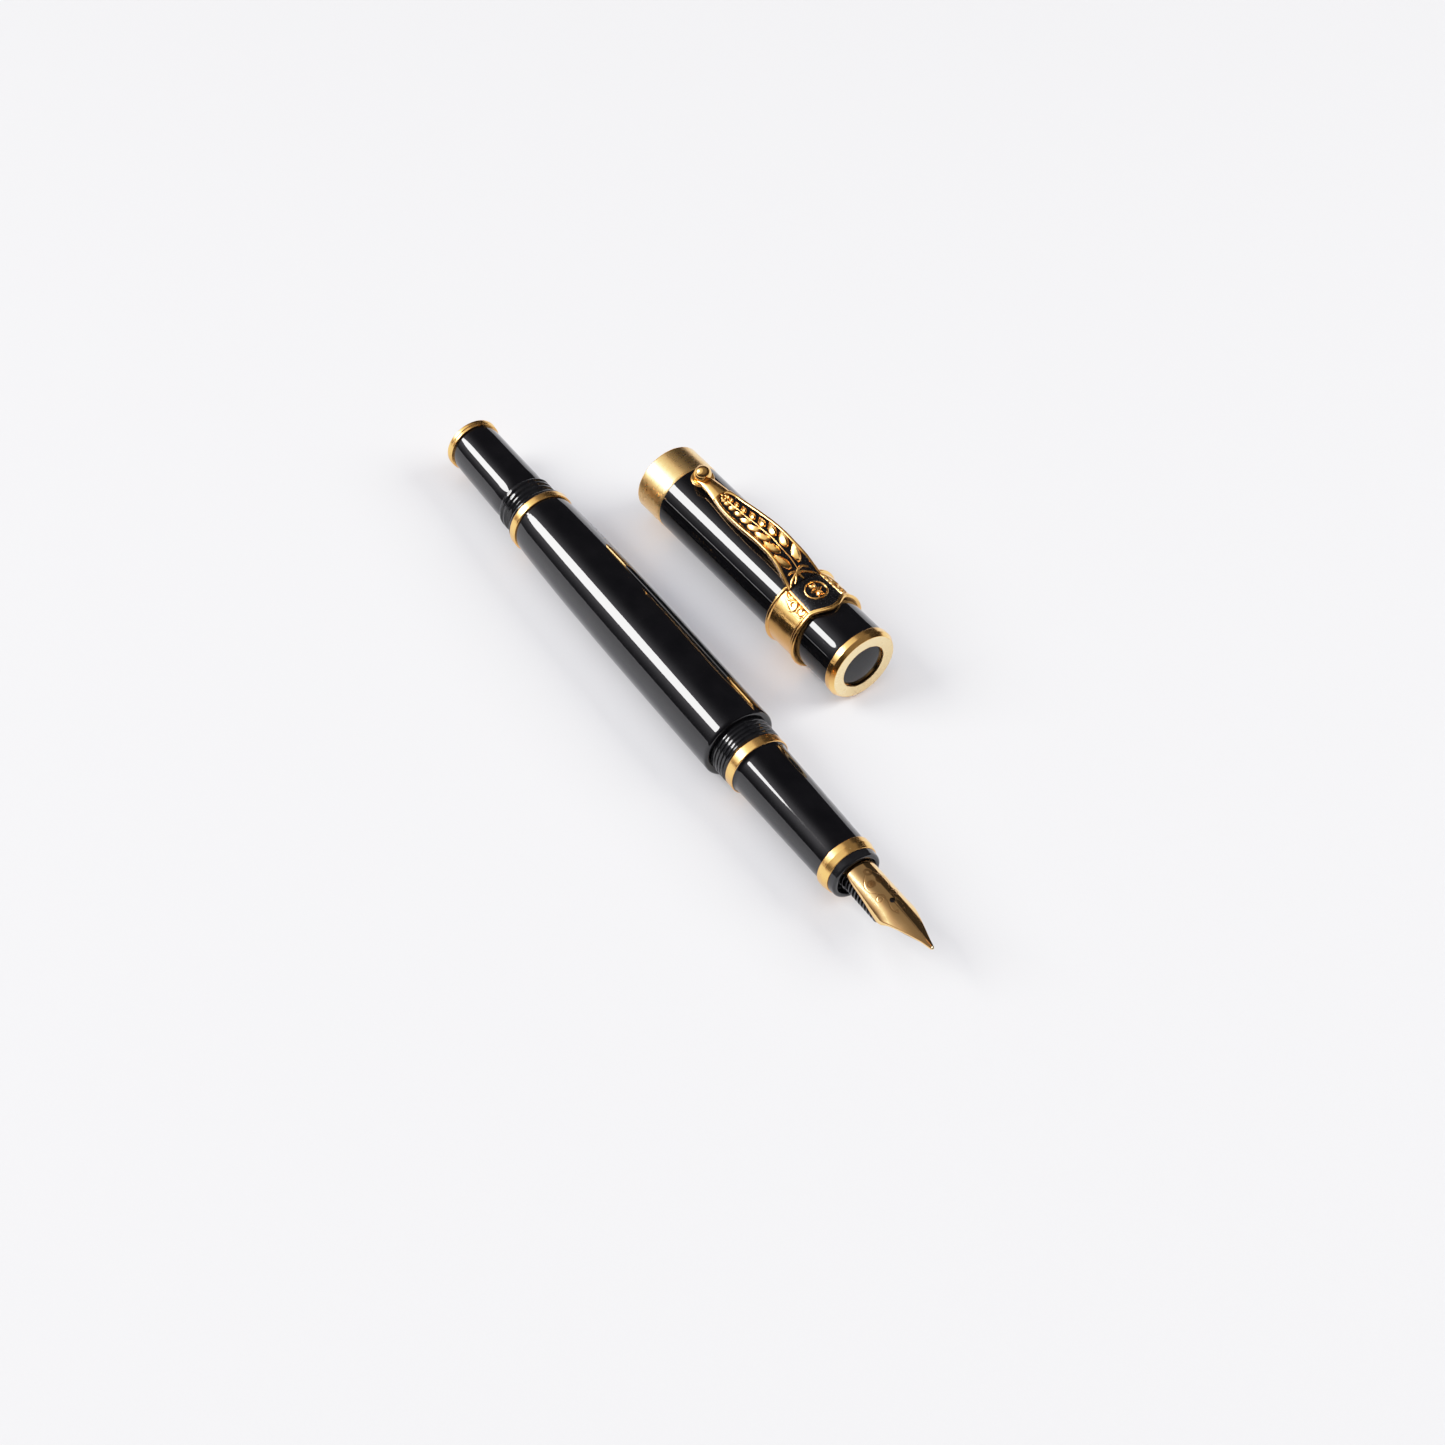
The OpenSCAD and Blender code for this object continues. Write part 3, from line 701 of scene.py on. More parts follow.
BREATHER, HOLE_R, TIP = 41.5, 0.5, 52.2
NIB_WIDTHS = [
    (18, 2.45), (32.7, 2.6), (38.5, 2.98), (41.2, 3.19), (42.7, 3.24), (43.3, 3.12), (44.0, 2.88),
    (45.8, 2.26), (48.6, 1.3), (50.3, 0.72), (51.2, 0.5), (51.95, 0.3)
]


def nib_top(x, y):
    """Height of the nib's upper face: a tube that flattens to a slight roof over the tines, bent down."""
    tine = smoothstep((x - 40.5) / 5.5)
    tube = np.sqrt(np.maximum(3.5**2 - y**2, 0.2))
    droop = 0.62 * np.clip((x - 42.5) / 9.6, 0, 1) ** 1.7
    roof = 3.5 - 0.24 * np.sqrt(y**2 + 0.012) - 0.085 * y**2 + 0.02
    return tube * (1 - tine) + roof * tine - droop


def ring_line(x, y, cx, cy, r):
    return np.abs(np.hypot(x - cx, y - cy) - r)


def nib_lines(x, y):
    """Distance to the nearest engraved line of a plain made-up ornament: rings, petals and two curls."""
    d = np.full(np.shape(x), 9.0)
    for cx, cy, r in (
        (34.9, 0.0, 0.62), (34.9, 0.0, 0.40), (37.1, -0.85, 0.62), (37.1, 0.85, 0.62), (43.6, -0.62, 0.2),
        (43.6, 0.62, 0.2)
    ):
        d = np.minimum(d, ring_line(x, y, cx, cy, r))
    for k in range(6):
        a = math.pi / 3 * k
        for cx, cy in ((37.1, -0.85), (37.1, 0.85)):
            d = np.minimum(d, ring_line(x, y, cx + 0.24 * math.cos(a), cy + 0.24 * math.sin(a), 0.24))
    for s in (-1, 1):
        a = np.arctan2(s * y - 1.35, x - 40.2)
        r = np.hypot(x - 40.2, s * y - 1.35)
        coil = 0.16 + 0.085 * (a + math.pi)
        d = np.minimum(d, np.where(r < 0.85, np.minimum(np.abs(r - coil), np.abs(r - coil - 0.534)), 9.0))
        sweep = curve_value(
            [
                (35.2, 0.75), (36.4, 1.75), (38.0, 1.9), (39.4, 1.0), (41.0, 0.72), (43.0, 1.05),
                (44.2, 0.55)
            ],
            np.clip(x, 35.2, 44.2)
        )
        d = np.minimum(d, np.where((x > 35.2) & (x < 44.2), np.abs(s * y - sweep), 9.0))
    return d


def nib():
    xs = np.concatenate(
        [
            spaced(18, 32, 0.7)[:-1], spaced(32, 41, 0.06)[:-1],
            BREATHER - HOLE_R * np.cos(np.linspace(0, math.pi, 25)), spaced(42.04, 51.4, 0.06),
            spaced(51.45, 51.95, 0.04)
        ]
    )
    ts = np.concatenate([[0, 0.012], spaced(0.03, 0.95, 0.0235), [0.975, 0.99, 1.0]])
    width = curve_value(NIB_WIDTHS, xs)
    # The inner edge of each half follows the breather hole and then the slit
    hole = np.sqrt(np.maximum(HOLE_R**2 - (xs - BREATHER) ** 2, 0))
    slit = np.where(xs > BREATHER, np.interp(xs, (BREATHER, TIP), (0.055, 0.018)), 0)
    inner = np.maximum(hole, slit)
    joined = int(np.searchsorted(xs, BREATHER - HOLE_R - 0.001))
    parts, shaded_cuts = [], []
    for s in (-1, 1):
        y = inner[:, None] + (width - inner)[:, None] * ts[None, :]
        x = np.broadcast_to(xs[:, None], y.shape)
        cut = smoothstep(1 - nib_lines(x, s * y) / 0.1)
        top = nib_top(x, y) - 0.03 * cut
        edge = np.clip((ts[None, :] - 0.965) / 0.035, 0, 1) ** 2 * 0.07
        lip = (xs[:, None] > BREATHER) * np.clip(1 - (y - inner[:, None]) / 0.05, 0, 1) ** 2 * 0.025
        top = top - edge - lip
        low = nib_top(x, y) - 0.3 / np.cos(np.arcsin(np.clip(y / 3.5, 0, 0.9))) * 0.98 + edge
        sides = [np.stack([x, s * y, z], 2).reshape(-1, 3) for z in (top, low)]
        parts.append((np.concatenate(sides), shell_faces(*y.shape, joined)))
        # The engraved lines are marked so that the gold is painted darker in them, as shade
        shaded_cuts.append(np.concatenate([cut.reshape(-1), np.zeros(y.size)]))
    build("nib", *merged(parts), NIB, "nib", "nib_unit", sharp=40, shaded_hollow=np.concatenate(shaded_cuts))


nib()

TIP_X, TIP_Z = TIP - 0.3, float(nib_top(51.9, 0.0)) - 0.16
slit = 0.16 * np.exp(-((np.sin(COARSE) / 0.12) ** 2))
pellet = [(-0.29 * math.cos(t), 0.27 * math.sin(t) * (1 - slit)) for t in np.linspace(0, math.pi, 33)]
AT_TIP = NIB @ Matrix.Translation((TIP_X * MM, 0, TIP_Z * MM))
skinned_rows("nib_tipping", pellet, "tip", "nib_unit", AT_TIP, COARSE)


def feed():
    comb = [(8, 0), (8, 1.0, 0.1), (14.3, 1.0), (14.3, 3.12, 0.1), (30.6, 3.12, 0.06)]
    for i in range(13):
        x = 30.6 + 0.8 * i
        fin = 2.86 if x < 33 else 2.7
        end = x + (0.36 if i else 0.1)
        comb += ([(x, fin, 0.07)] if i else []) + [(end, fin, 0.07), (end, 1.95), (x + 0.8, 1.95)]
    comb += [(41.2, 1.9), (41.2, 0)]
    loops = []
    for x in spaced(32.0, 49.6, 0.4):
        half = float(np.interp(x, (32, 40, 43.5, 46.5, 49.6), (2.3, 2.3, 2.3, 1.55, 0.6)))
        low = float(np.interp(x, (32, 40.7, 42.2, 45, 49.6), (1.0, 1.0, 0.3, 1.1, 2.05)))
        top = [(y, float(nib_top(x, y)) - 0.36) for y in np.linspace(half, -half, 13)]
        low = min(low, top[0][1] - 0.12)
        side = 0.12 * half
        edge = top[0][1] - 0.04
        under = [(-half, edge), (-half, low + side), (-half + side, low), (0, low - 0.05)]
        loop = top + under + [(-y, z) for y, z in under[-2::-1]]
        loops.append([(x, y, z) for y, z in loop])
    shape = merged([rows_to_mesh(rounded(comb), round_angles(96)), skinned(loops)])
    build("feed", *shape, NIB, "resin", "nib_unit", sharp=40)


feed()

# ------------------------------------------------------------------ cap

CAP_R, LIP_BAND, FINIAL, COLLAR, COLLAR_END = 6.55, 6.5, 53.3, 37.7, 45.4

turned(
    "cap_tube",
    [(LIP_BAND, 6.2)] + outline(cap_tube_r, LIP_BAND, 8.0, 0.15) + outline(cap_tube_r, 10, 50, 2.0)
    + outline(cap_tube_r, 51.4, FINIAL, 0.15) + [(FINIAL, 6.2)],
    "lacquer_cap", "cap", CAP, seg=200,
)
turned(
    "cap_lip_band",
    [
        (0, 6.2), (0, 6.42, 0.1), (0.28, 6.6, 0.12), (6.1, 6.6, 0.04), (6.15, 6.55, 0.03),
        (6.22, 6.55, 0.03), (6.27, 6.6, 0.04), (6.48, 6.56, 0.08), (6.5, 6.4, 0.03), (6.5, 6.2),
    ],
    "satin", "cap", CAP, seg=200,
)
turned(
    "cap_liner",
    [
        (0.2, 6.05, 0.05), (0.2, 6.2), (FINIAL, 6.2), (FINIAL, 0), (52.6, 0), (52.6, 5.9, 0.6),
        (0.5, 5.9, 0.1),
    ],
    "resin", "cap", CAP,
)
turned(
    "finial_ring",
    [
        (FINIAL, 1.5), (FINIAL, 6.8, 0.14), (54.42, 6.8, 0.1), (55.2, 6.34, 0.06), (55.2, 6.26),
        (54.95, 6.26), (54.95, 4.3), (54.5, 4.3), (54.5, 2.4), (53.9, 2.4), (53.9, 1.5),
    ],
    "gold_cap", "cap", CAP, seg=200,
)
turned(
    "finial_face",
    [(54.95, 4.25), (55.16, 4.25, 0.05), (55.2, 4.34, 0.04), (55.2, 6.27), (54.95, 6.27)],
    "face", "cap", CAP, replaced="finial_ring", seg=200,
)
turned(
    "finial_disc",
    [(54.5, 0), (54.5, 4.23), (54.6, 4.23)]
    + [(55.08 - 0.44 * (r / 4.2) ** 2, r) for r in spaced(4.2, 0.0, 0.2)],
    "disc", "cap", CAP,
)
turned(
    "finial_screw",
    [(FINIAL, 0), (FINIAL, 1.5, 0.1), (53.9, 1.5), (53.9, 2.4, 0.1), (54.5, 2.4, 0.1), (54.5, 0)],
    "steel", "cap", CAP,
)


def shield_bulge(phi):
    """How far the collar's front edge runs forward under the shield."""
    return 1.75 * smoothstep(1 - np.abs(phi) / 33.0) ** 0.9


def shield_inside(u, phi):
    """Distance inside the shield's field, in mm, negative outside."""
    side = (25.5 + 1.6 * np.clip((u - 41) / 4, -1, 1) - np.abs(phi)) * 0.131
    return np.minimum(np.minimum(side, u - (COLLAR + 1.0)), (COLLAR_END + shield_bulge(phi) - 0.78) - u)


def collar_r(u, phi):
    """The collar's radius: a waisted body, a bead at the rear, a double bead in front and the shield."""
    front = COLLAR_END + shield_bulge(phi)
    back = u - COLLAR
    ahead = front - u
    body = 7.1 + 0.1 * np.clip((np.abs(u - 41.4) / 3.7), 0, 1) ** 2
    rear_bead = 7.1 + 0.4 * np.sqrt(np.clip(1 - ((back - 0.32) / 0.36) ** 2, 0, 1))
    front_bead = 7.12 + 0.40 * np.sqrt(np.clip(1 - ((ahead - 0.36) / 0.40) ** 2, 0, 1))
    inner_bead = 7.1 + 0.22 * np.sqrt(np.clip(1 - ((ahead - 0.98) / 0.26) ** 2, 0, 1))
    inside = shield_inside(u, phi)
    raise_up = smoothstep((inside + 0.75) / 0.55) * 0.42
    bowl = smoothstep((inside - 0.02) / 0.14) * 0.30
    block = body + raise_up - bowl
    lift = 0.18 * smoothstep(1 - np.abs(phi) / 40)
    return np.maximum(np.maximum(block, rear_bead), np.maximum(front_bead + lift, inner_bead))


def collar():
    fine = np.linspace(-44, 44, 241)
    coarse = np.linspace(44, 316, 150)[1:-1]
    phi = np.concatenate([fine, coarse])
    wrapped = (phi + 180) % 360 - 180
    angles = np.radians(phi)
    rows = [(COLLAR, 6.57)]
    shares = np.concatenate(
        [[0.0], spaced(0.0015, 0.09, 0.0045), spaced(0.1, 0.8, 0.011), spaced(0.806, 0.9985, 0.0045), [1.0]]
    )
    bulge = shield_bulge(wrapped)
    for t in shares:
        u = COLLAR + (COLLAR_END - COLLAR + bulge * smoothstep((t - 0.25) / 0.75)) * t
        rows.append((u, collar_r(np.clip(u, COLLAR + 0.01, COLLAR_END + bulge - 0.01), wrapped)))
    rows.append((COLLAR_END + bulge, 7.0))
    rows.append((COLLAR_END + bulge * 0.9 - 0.3, 6.57))
    skinned_rows("clip_collar", rows, "gold_cap", "cap", CAP, angles, sharp=55)


collar()


def on_cap(u, phi, r):
    """A point at station u, phi degrees from the top towards +Y, r from the cap's axis."""
    a = np.radians(phi)
    return np.stack([u + 0 * a, r * np.sin(a), r * np.cos(a)], -1)


def path(points, n):
    """Points along a smooth curve through control points."""
    p = np.asarray(points, float)
    t = np.arange(len(p))
    at = np.linspace(0, len(p) - 1, n)
    return np.stack([curve_value(np.stack([t, p[:, k]], 1), at) for k in range(p.shape[1])], 1)


def relief(points, width, height, n):
    """A raised, tapering strip on the collar through (u, phi) points."""
    p = path(points, n)
    t = np.linspace(0, 1, n)
    taper = np.sin(math.pi * np.clip(0.04 + 0.92 * t, 0, 1)) ** 0.6
    centre = on_cap(p[:, 0], p[:, 1], collar_r(p[:, 0], p[:, 1]))
    up = on_cap(0.0, p[:, 1], 1.0)
    return wire(centre, width * taper, height * taper, up, 12)


def coil(u, phi, big, turns, start, hand):
    """A spiral in (u, phi) that winds inwards."""
    a = np.radians(start) + hand * np.linspace(0, turns * 2 * math.pi, 14)
    r = big * np.linspace(1, 0.16, 14)
    return [(u + r[i] * math.cos(a[i]), phi + r[i] * math.sin(a[i]) * 7.7) for i in range(14)]


def leaf(length, width, height, crease=0.35, n=18, m=9):
    """A pointed leaf along +x with a ridge along its middle, base at the origin."""
    xs = np.linspace(0, 1, n)
    half = width / 2 * np.sin(math.pi * xs**0.8) ** 0.75
    upper, lower = [], []
    for x, w in zip(xs, half):
        rise = math.sin(math.pi * x**0.8) ** 0.45 if 0 < x < 1 else 0
        for k in np.linspace(-1, 1, m):
            dome = math.sqrt(max(0.0, 1 - k * k))
            ridge = 1.3 * (1 - abs(k))
            upper.append((x * length, k * w, height * rise * ((1 - crease) * dome + crease * ridge)))
            lower.append((x * length, k * w * 0.96, -0.12))
    return np.array(upper + lower), shell_faces(n, m)


def placed(shape, origin, along, up):
    """A (verts, faces) shape moved so that its x runs along and its z points up."""
    along, up = np.asarray(along, float), np.asarray(up, float)
    along = along - up * (along @ up) / (up @ up)
    along /= np.linalg.norm(along)
    up = up / np.linalg.norm(up)
    turn = np.stack([along, np.cross(up, along), up])
    return shape[0] @ turn + np.asarray(origin, float), shape[1]


# Strips of the scrollwork beside the shield: (station, angle) points, half width, height and steps
SCROLLS = [
    ([(38.7, 30), (39.6, 34.5), (40.6, 33), (41.4, 30.5)], 0.3, 0.32, 60),
    (coil(41.3, 36.5, 1.25, 1.25, 150, -1), 0.25, 0.36, 110),
    (coil(43.2, 35.0, 0.95, 1.2, -30, 1), 0.23, 0.34, 100),
    ([(42.2, 40.5), (43.0, 42.5), (44.0, 41.5), (44.4, 38.5)], 0.22, 0.28, 60),
    ([(39.0, 37.0), (39.9, 40.0), (41.0, 43.0), (41.9, 46.0)], 0.2, 0.25, 60),
    ([(39.4, 31.0), (40.2, 29.3), (41.2, 29.6)], 0.2, 0.28, 60),
]
# Its leaves: station, angle, lean in degrees, length
SCROLL_LEAVES = [
    (40.1, 37.5, 130, 1.0), (42.1, 31.5, 25, 0.9), (43.9, 31.0, 60, 0.8), (42.9, 39.0, 150, 0.8)
]


def collar_scrolls():
    parts = []
    for s in (-1, 1):
        for points, width, height, steps in SCROLLS:
            parts.append(relief([(u, s * phi) for u, phi in points], width, height, steps))
        for u, phi, angle, size in SCROLL_LEAVES:
            a = math.radians(angle)
            origin = on_cap(u, s * phi, collar_r(u, s * phi) - 0.02)
            up = on_cap(0.0, s * phi, 1.0)
            side = np.cross(up, (1, 0, 0))
            along = np.array([math.cos(a), 0, 0]) - s * side * math.sin(a)
            parts.append(placed(leaf(size, 0.42, 0.26), origin, along, up))
    build("collar_scrolls", *merged(parts), CAP, "gold_cap", "cap", sharp=60)


collar_scrolls()


def shield_enamel():
    v, t = np.meshgrid(spaced(0, 1, 0.02), np.linspace(-1, 1, 61), indexing="ij")
    phi = t * (24.9 + 1.2 * v)
    start, end = COLLAR + 1.15, COLLAR_END + shield_bulge(phi) - 0.92
    u = start + (end - start) * v
    top = 7.50 - 0.05 * np.maximum(np.abs(t), np.abs(2 * v - 1)) ** 8
    sides = [on_cap(u, phi, r).reshape(-1, 3) for r in (top, np.full(top.shape, 7.24))]
    verts, faces = np.concatenate(sides), shell_faces(*top.shape)
    build("shield_enamel", verts, faces, CAP, "enamel", "cap", sharp=50)


shield_enamel()


def shield_rosette():
    parts = []
    middle, field_r, reach, ring_r = 42.1, 7.5, 0.3, 1.9
    for k in range(6):
        a = math.radians(60 * k + 30)
        u, phi = middle + reach * math.cos(a), math.degrees(reach * math.sin(a) / field_r)
        up = on_cap(0.0, phi, 1.0)
        along = np.array([math.cos(a), 0, 0]) + np.cross((1, 0, 0), up) * math.sin(a)
        parts.append(placed(leaf(1.45, 0.86, 0.36, 0.6), on_cap(u, phi, field_r - 0.01), along, up))
    a = np.linspace(0, 2 * math.pi, 73)
    phi = np.degrees(ring_r * np.sin(a) / field_r)
    parts.append(
        wire(on_cap(middle + ring_r * np.cos(a), phi, field_r), 0.17, 0.24, on_cap(0.0, phi, 1.0), 10)
    )
    dome = [(0.238 * math.sin(t), 0.34 * math.cos(t)) for t in np.linspace(0, math.pi / 2, 9)]
    parts.append(upright(dome + [(-0.1, 0.3), (-0.1, 0.0)], 32, (middle, 0, field_r)))
    build("shield_rosette", *merged(parts), CAP, "gold_cap", "cap", sharp=60)


shield_rosette()

# ------------------------------------------------------------------ clip

CLIP_RISE = [
    (8.4, 8.2), (11, 8.2), (13.5, 8.4), (18, 8.2), (24, 8.85), (29.5, 9.5), (34, 9.05), (36.6, 8.2),
    (38.9, 7.3)
]
CLIP_HALF = [
    (8.4, 1.4), (13, 1.42), (16, 1.8), (20, 2.35), (25, 2.7), (30, 2.75), (34, 2.85), (36.5, 3.15),
    (38.9, 3.5)
]
CHANNEL_HALF = [
    (15.8, 0.55), (16.6, 1.1), (20, 1.7), (25, 2.08), (30, 2.16), (34, 2.26), (36.5, 2.6), (38.9, 2.95)
]
CHANNEL_START = 15.6
BALL_U, BALL_Z, BALL_R = 10.4, 9.25, 1.52


def clip_z(u):
    return curve_value(CLIP_RISE, u)


def channel_half(u):
    w = curve_value(CHANNEL_HALF, u)
    t = np.clip((u - CHANNEL_START) / 1.0, 0, 1)
    return w * np.sqrt(1 - (1 - t) ** 2)


def clip_point(u, y, h):
    """A point on the clip: station, distance across, height over its middle surface. Also its up and along.
    Towards its root the clip wraps round the collar."""
    slope = math.atan(float(clip_z(u + 0.1) - clip_z(u - 0.1)) / 0.2)
    up = np.array([-math.sin(slope), 0, math.cos(slope)])
    wrap = float(smoothstep((u - 34.5) / 4.2)) * (7.6 - math.sqrt(7.6**2 - y * y))
    along = np.array([math.cos(slope), 0, math.sin(slope)])
    return np.array([u, y, float(clip_z(u)) - wrap]) + up * h, up, along


def clip_frame():
    loops = []
    us = np.concatenate([spaced(10.4, 15.4, 0.2), spaced(15.45, 17.0, 0.05), spaced(17.2, 38.9, 0.2)])
    for u in us:
        w, c = float(curve_value(CLIP_HALF, u)), float(channel_half(u))
        carved = float(smoothstep((u - CHANNEL_START) / 0.35) * smoothstep((u - 14.2) / 1.8))
        top = []
        rail = (w - c) / 2
        mid = (w + c) / 2
        # Half section from the outer side to the middle: rounded rail, inner wall, floor
        for a in np.radians(np.linspace(-20, 180, 17)):
            top.append((mid + rail * math.cos(a), 0.6 - rail * 0.62 + rail * 0.62 * math.sin(a)))
        for share in (0.985, 0.95, 0.8, 0.5, 0.2):
            top.append((c * share, 0.15 if share < 0.98 else 0.2))
        # The plain domed shaft that it grows out of
        plain = []
        for i in range(len(top)):
            t = i / len(top)
            y = w * math.cos(t * math.pi / 2)
            plain.append(
                (y, 0.62 * math.sqrt(max(0.0, 1 - (y / w) ** 2 * 0.92)) - 0.02 - 0.15 * (y / w) ** 2)
            )
        half = []
        for (ya, ha), (yb, hb) in zip(plain, top):
            half.append((ya * (1 - carved) + yb * carved, ha * (1 - carved) + hb * carved))
        middle = (0.0, 0.6 * (1 - carved) + 0.15 * carved)
        under = [(w * 0.995, -0.12), (w * 0.97, -0.36), (w * 0.9, -0.53), (w * 0.78, -0.6), (w * 0.4, -0.6)]
        right = under[::-1] + half
        loop = right + [middle] + [(-y, h) for y, h in right[::-1]] + [(0.0, -0.6)]
        loops.append([clip_point(u, y, h)[0] for y, h in loop])
    cup = rounded(
        [
            (7.5, 0), (7.5, 1.55, 0.3), (7.8, 1.8, 0.06), (7.83, 2.02, 0.08), (8.12, 2.06, 0.08),
            (8.17, 1.9, 0.03), (8.23, 1.9, 0.03), (8.28, 2.02, 0.05), (8.46, 1.96, 0.12),
            (8.46, 1.45, 0.1), (8.2, 1.1), (8.0, 0.75), (7.9, 0.4), (7.86, 0),
        ]
    )
    shape = merged([skinned(loops), upright(cup, 96, (BALL_U, 0, 0))])
    build("clip_frame", *shape, CAP, "gold_clip", "clip", sharp=45)


clip_frame()


def clip_enamel():
    loops = []
    for u in np.concatenate([spaced(CHANNEL_START + 0.06, 16.4, 0.08), spaced(16.6, 38.85, 0.2)]):
        c = max(0.05, float(channel_half(u)) - 0.02)
        loop = [(y * c, 0.36 + 0.05 * abs(y) ** 6) for y in np.linspace(-1, 1, 15)]
        loop += [(c, 0.2), (c * 0.9, 0.1), (-c * 0.9, 0.1), (-c, 0.2)]
        loops.append([clip_point(u, y, h)[0] for y, h in loop])
    build("clip_enamel", *skinned(loops), CAP, "enamel", "clip", sharp=50)


clip_enamel()


def clip_leaves():
    parts = []
    pairs = 9
    for i in range(pairs):
        share = i / (pairs - 1)
        u = 17.3 + 17.4 * share**1.45
        size = float(np.interp(share, (0, 0.35, 0.6, 0.8, 1), (1.15, 1.85, 2.85, 3.6, 3.8)))
        width = float(np.interp(share, (0, 0.35, 0.6, 1), (0.82, 1.05, 1.4, 1.75)))
        lean = math.radians(float(np.interp(share, (0, 0.4, 1), (26, 22, 17))))
        across = float(np.interp(share, (0, 0.35, 0.7, 1), (0.55, 0.68, 1.08, 1.5)))
        for s in (-1, 1):
            middle = u - (0.35 if s > 0 else 0.0) + 0.5 * size * math.cos(lean)
            origin, up, along = clip_point(middle, s * (across - 0.5 * size * math.sin(lean)), 0.33)
            direction = -along * math.cos(lean) + np.array([0, s, 0]) * math.sin(lean)
            parts.append(placed(leaf(size, width, 0.36 + 0.18 * share, 0.75), origin, direction, up))
    for u, y, size in ((16.1, 0.0, 0.3), (16.55, 0.42, 0.33), (16.6, -0.42, 0.33), (17.0, 0.0, 0.26)):
        origin, up, along = clip_point(u, y, 0.38)
        bead = [(math.sin(t) * size * 0.8, math.cos(t) * size) for t in np.linspace(-0.5, math.pi / 2, 9)]
        parts.append(placed(upright(bead + [(-0.2, 0.0)], 24), origin, along, up))
    stem = [clip_point(u, 0.05 * math.sin(u * 1.3), 0.36) for u in spaced(17.6, 36.8, 0.3)]
    parts.append(wire([p[0] for p in stem], 0.11, 0.08, [p[1] for p in stem], 8))
    # The tie in front of the shield
    for points in (
        [(38.7, -2.9), (38.2, -2.3), (37.8, -1.5), (37.5, -0.6), (37.7, 0.4), (38.2, 1.3), (38.8, 2.5)],
        [(38.8, -2.0), (38.3, -1.4), (37.6, -0.8), (37.0, 0.0), (36.9, 0.9), (37.4, 1.8)],
        [(37.1, -2.2), (37.0, -1.4), (37.4, -0.7), (38.1, -0.4), (38.8, -0.2)],
    ):
        strand = [clip_point(u, y, 0.44) for u, y in path(points, 50)]
        thin = 0.5 + 0.5 * np.sin(np.linspace(0.1, math.pi - 0.1, 50))
        parts.append(wire([p[0] for p in strand], 0.27 * thin, 0.26 * thin, [p[1] for p in strand], 10))
    build("clip_leaves", *merged(parts), CAP, "gold_clip", "clip", sharp=60)


clip_leaves()

ball = [(-BALL_R * math.cos(t), BALL_R * math.sin(t)) for t in np.linspace(0, math.pi, 49)]
build("clip_ball", *upright(ball, 96, (BALL_U, 0, BALL_Z)), CAP, "gold_clip", "clip")

# ------------------------------------------------------------------ stage, lights, camera


def stage(name, rows, visible_in_gloss):
    """A surface of revolution about the vertical, from (radius, height) rows in metres."""
    seg = 96
    verts, faces = [], []
    for r, z in rows:
        verts += [(r * math.cos(a), r * math.sin(a), z) for a in round_angles(seg)]
    faces = grid_faces(len(rows), seg, wrap=True)
    if visible_in_gloss:
        faces.append(tuple(range(seg)))
    mesh = bpy.data.meshes.new(name)
    mesh.from_pydata(verts, [], faces)
    mesh.shade_smooth()
    piece = bpy.data.objects.new(name, mesh)
    bpy.context.scene.collection.objects.link(piece)
    s = Shader(name)
    grain = s.noise(2.5, 4)
    s.colour(s.mix(s.ramp(grain, 0, 1), (0.85, 0.85, 0.875), (0.865, 0.865, 0.89)))
    s.rough(s.ramp(grain, 0.62, 0.72))
    s.set(Specular_IOR_Level=0.2)
    s.bump([(s.noise(6.0, 3), 0.02)])
    # The far sweep glows by itself, as if it had lamps of its own
    reach = s.add("ShaderNodeVectorMath", operation="LENGTH")
    s.link(s.place, reach.inputs[0])
    s.set(Emission_Color=(0.97, 0.97, 1.0, 1))
    s.link(s.ramp(reach.outputs["Value"], 0.0, 0.66, 600, 1700), s.bsdf.inputs["Emission Strength"])
    mesh.materials.append(s.mat)
    piece.visible_glossy = visible_in_gloss
    piece.visible_diffuse = visible_in_gloss
    return piece


floor = stage("floor", [(0.3, 0), (0.6, 0), (1.0, 0), (1.5, 0)], True)
wall = stage("wall", [(1.5, 0), (2.2, 0), (2.6, 0.1), (2.85, 0.4), (3.0, 1.0), (3.0, 2.5)], False)


def area_light(
    name, shape, size, where, target, power, colour=(1, 1, 1), glossy=True, diffuse=True
):
    light = bpy.data.lights.new(name, "AREA")
    light.shape = shape
    light.size, light.size_y = size
    light.energy = power
    light.color = colour
    lamp = bpy.data.objects.new(name, light)
    bpy.context.scene.collection.objects.link(lamp)
    back = (Vector(where) - Vector(target)).normalized()
    side = Vector((1, 0, 0))
    side = (side - back * side.dot(back)).normalized()
    lamp.matrix_world = Matrix((side, back.cross(side), back)).transposed().to_4x4()
    lamp.location = where
    lamp.visible_glossy = glossy
    lamp.visible_diffuse = diffuse
    lamp.visible_camera = False
    return lamp


def leave_out(name, lamps, pieces):
    """Lamps that the pieces wouldn't show anyway skip them, which keeps the picture clean."""
    skipped = bpy.data.collections.new(name)
    for piece in pieces:
        skipped.objects.link(piece)
    for entry in skipped.collection_objects:
        entry.light_linking.link_state = "EXCLUDE"
    for lamp in lamps:
        lamp.light_linking.receiver_collection = skipped


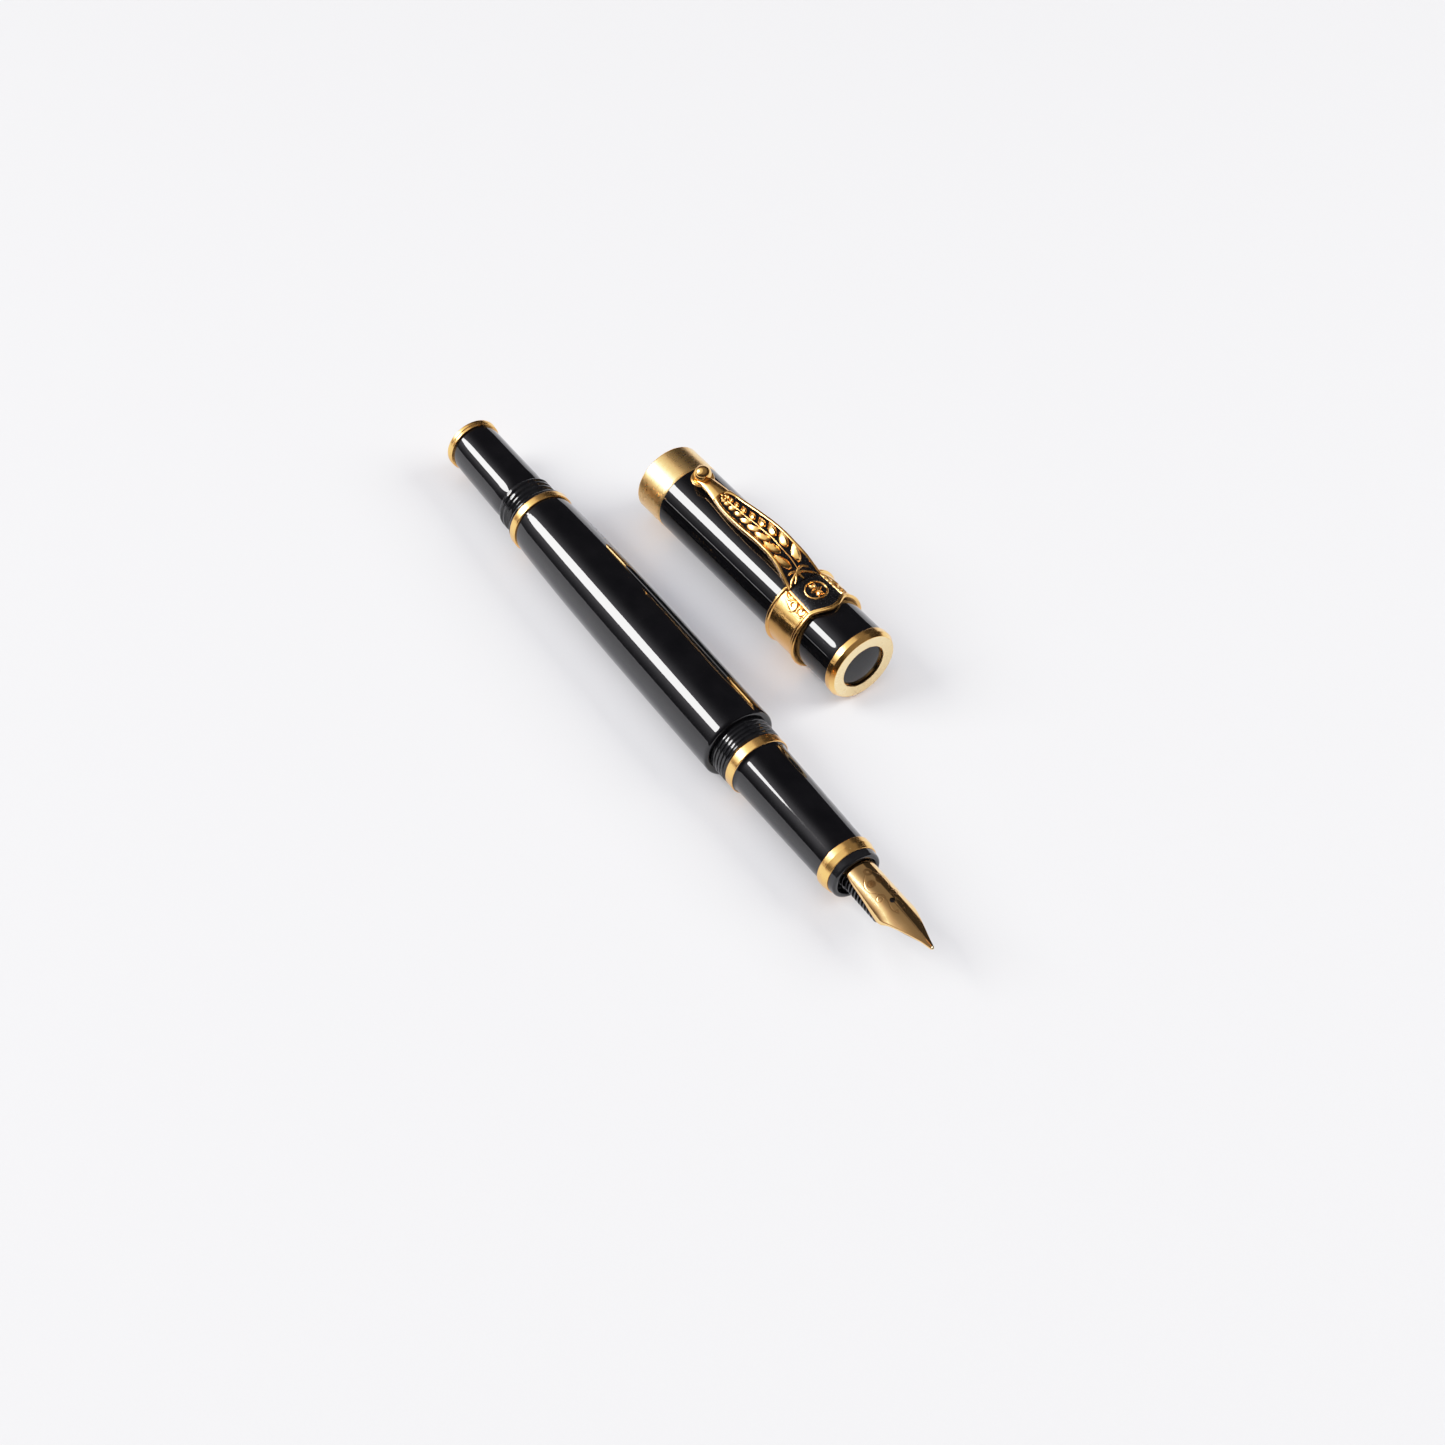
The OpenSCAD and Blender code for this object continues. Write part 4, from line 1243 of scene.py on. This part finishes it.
SOFTBOX, MIDDLE, WARM = (-0.375, -0.35, 0.35), (0, -0.013, 0.007), (1, 0.985, 0.975)
softbox = area_light(
    "softbox", "ELLIPSE", (0.29, 0.205), SOFTBOX, MIDDLE, 4.2, (1, 0.99, 0.98), diffuse=False
)
strip = area_light(
    "strip", "RECTANGLE", (0.45, 0.012), (-0.33, -0.33, 0.34), MIDDLE, 0.02, (1, 0.93, 0.88), diffuse=False
)
overhead = area_light(
    "overhead", "DISK", (1.4, 1.4), (0.1, -0.1, 1.25), (0, 0, 0), 9, (0.93, 0.94, 1), glossy=False
)
left_bank = area_light(
    "left_bank", "SQUARE", (0.62, 0.62), (-0.5, -0.75, 0.7), (0, 0, 0), 13, WARM, glossy=False
)
right_bank = area_light(
    "right_bank", "SQUARE", (0.62, 0.62), (0.5, 0.75, 0.7), (0, 0, 0), 12, WARM, glossy=False
)
leave_out("sweep", (softbox, strip), (floor, wall))
leave_out("metal", (overhead, left_bank, right_bank), gilded.objects)
# Wide scrims, dim overhead and brighter on the left, that only the metal shows
for name, size, where, power, shown_by in (
    ("scrim", 4.0, (0, 0, 1.6), 7, gilded), ("scrim_left", 3.0, (-0.7, -0.9, 1.5), 15, banded),
):
    scrim = area_light(name, "DISK", (size, size), where, (0, 0, 0), power, (1, 0.98, 0.95), diffuse=False)
    scrim.light_linking.receiver_collection = shown_by

world = bpy.data.worlds.new("surroundings")
bpy.context.scene.world = world
world.use_nodes = True
sky = next(n for n in world.node_tree.nodes if n.type == "BACKGROUND")
sky.inputs["Color"].default_value = (0.97, 0.95, 1.0, 1)
# The room is dim, with a glow round the softbox
ROOM, GLOW, GLOW_ANGLE = 0.035, 1.7, math.radians(19)
sky_tree = world.node_tree
direction = sky_tree.nodes.new("ShaderNodeTexCoord").outputs["Generated"]
toward = sky_tree.nodes.new("ShaderNodeVectorMath")
toward.operation = "DOT_PRODUCT"
toward.inputs[1].default_value = Vector(SOFTBOX).normalized()
sky_tree.links.new(direction, toward.inputs[0])
away = math_node(sky_tree, "DIVIDE", math_node(sky_tree, "ARCCOSINE", toward.outputs["Value"]), GLOW_ANGLE)
falloff = math_node(sky_tree, "MULTIPLY", math_node(sky_tree, "MULTIPLY", away, away), -1.0)
glow = math_node(sky_tree, "MULTIPLY", math_node(sky_tree, "EXPONENT", falloff), GLOW)
sky_tree.links.new(math_node(sky_tree, "ADD", glow, ROOM), sky.inputs["Strength"])

settings = bpy.context.scene.view_settings
settings.view_transform = "Standard"
settings.look = "None"
settings.use_curve_mapping = True
tone = settings.curve_mapping
tone.white_level = (1.35, 1.35, 1.35)
shoulder = tone.curves[3]
for at, to in ((0.25, 0.335), (0.5, 0.62), (0.75, 0.81)):
    shoulder.points.new(at, to)
shoulder.points[-1].location = (1.0, 0.925)
tone.update()

camera = bpy.data.cameras.new("camera")
camera.sensor_width = 36
camera.lens = 74.74
camera.clip_start, camera.clip_end = 0.01, 20
view = bpy.data.objects.new("camera", camera)
bpy.context.scene.collection.objects.link(view)
AZIMUTH, ELEVATION = math.radians(55.6), math.radians(50.34)
view.matrix_world = (
    Matrix.Translation((0.2705, -0.1909, 0.3866))
    @ Matrix.Rotation(AZIMUTH, 4, "Z")
    @ Matrix.Rotation(math.pi / 2 - ELEVATION, 4, "X")
)
bpy.context.scene.camera = view
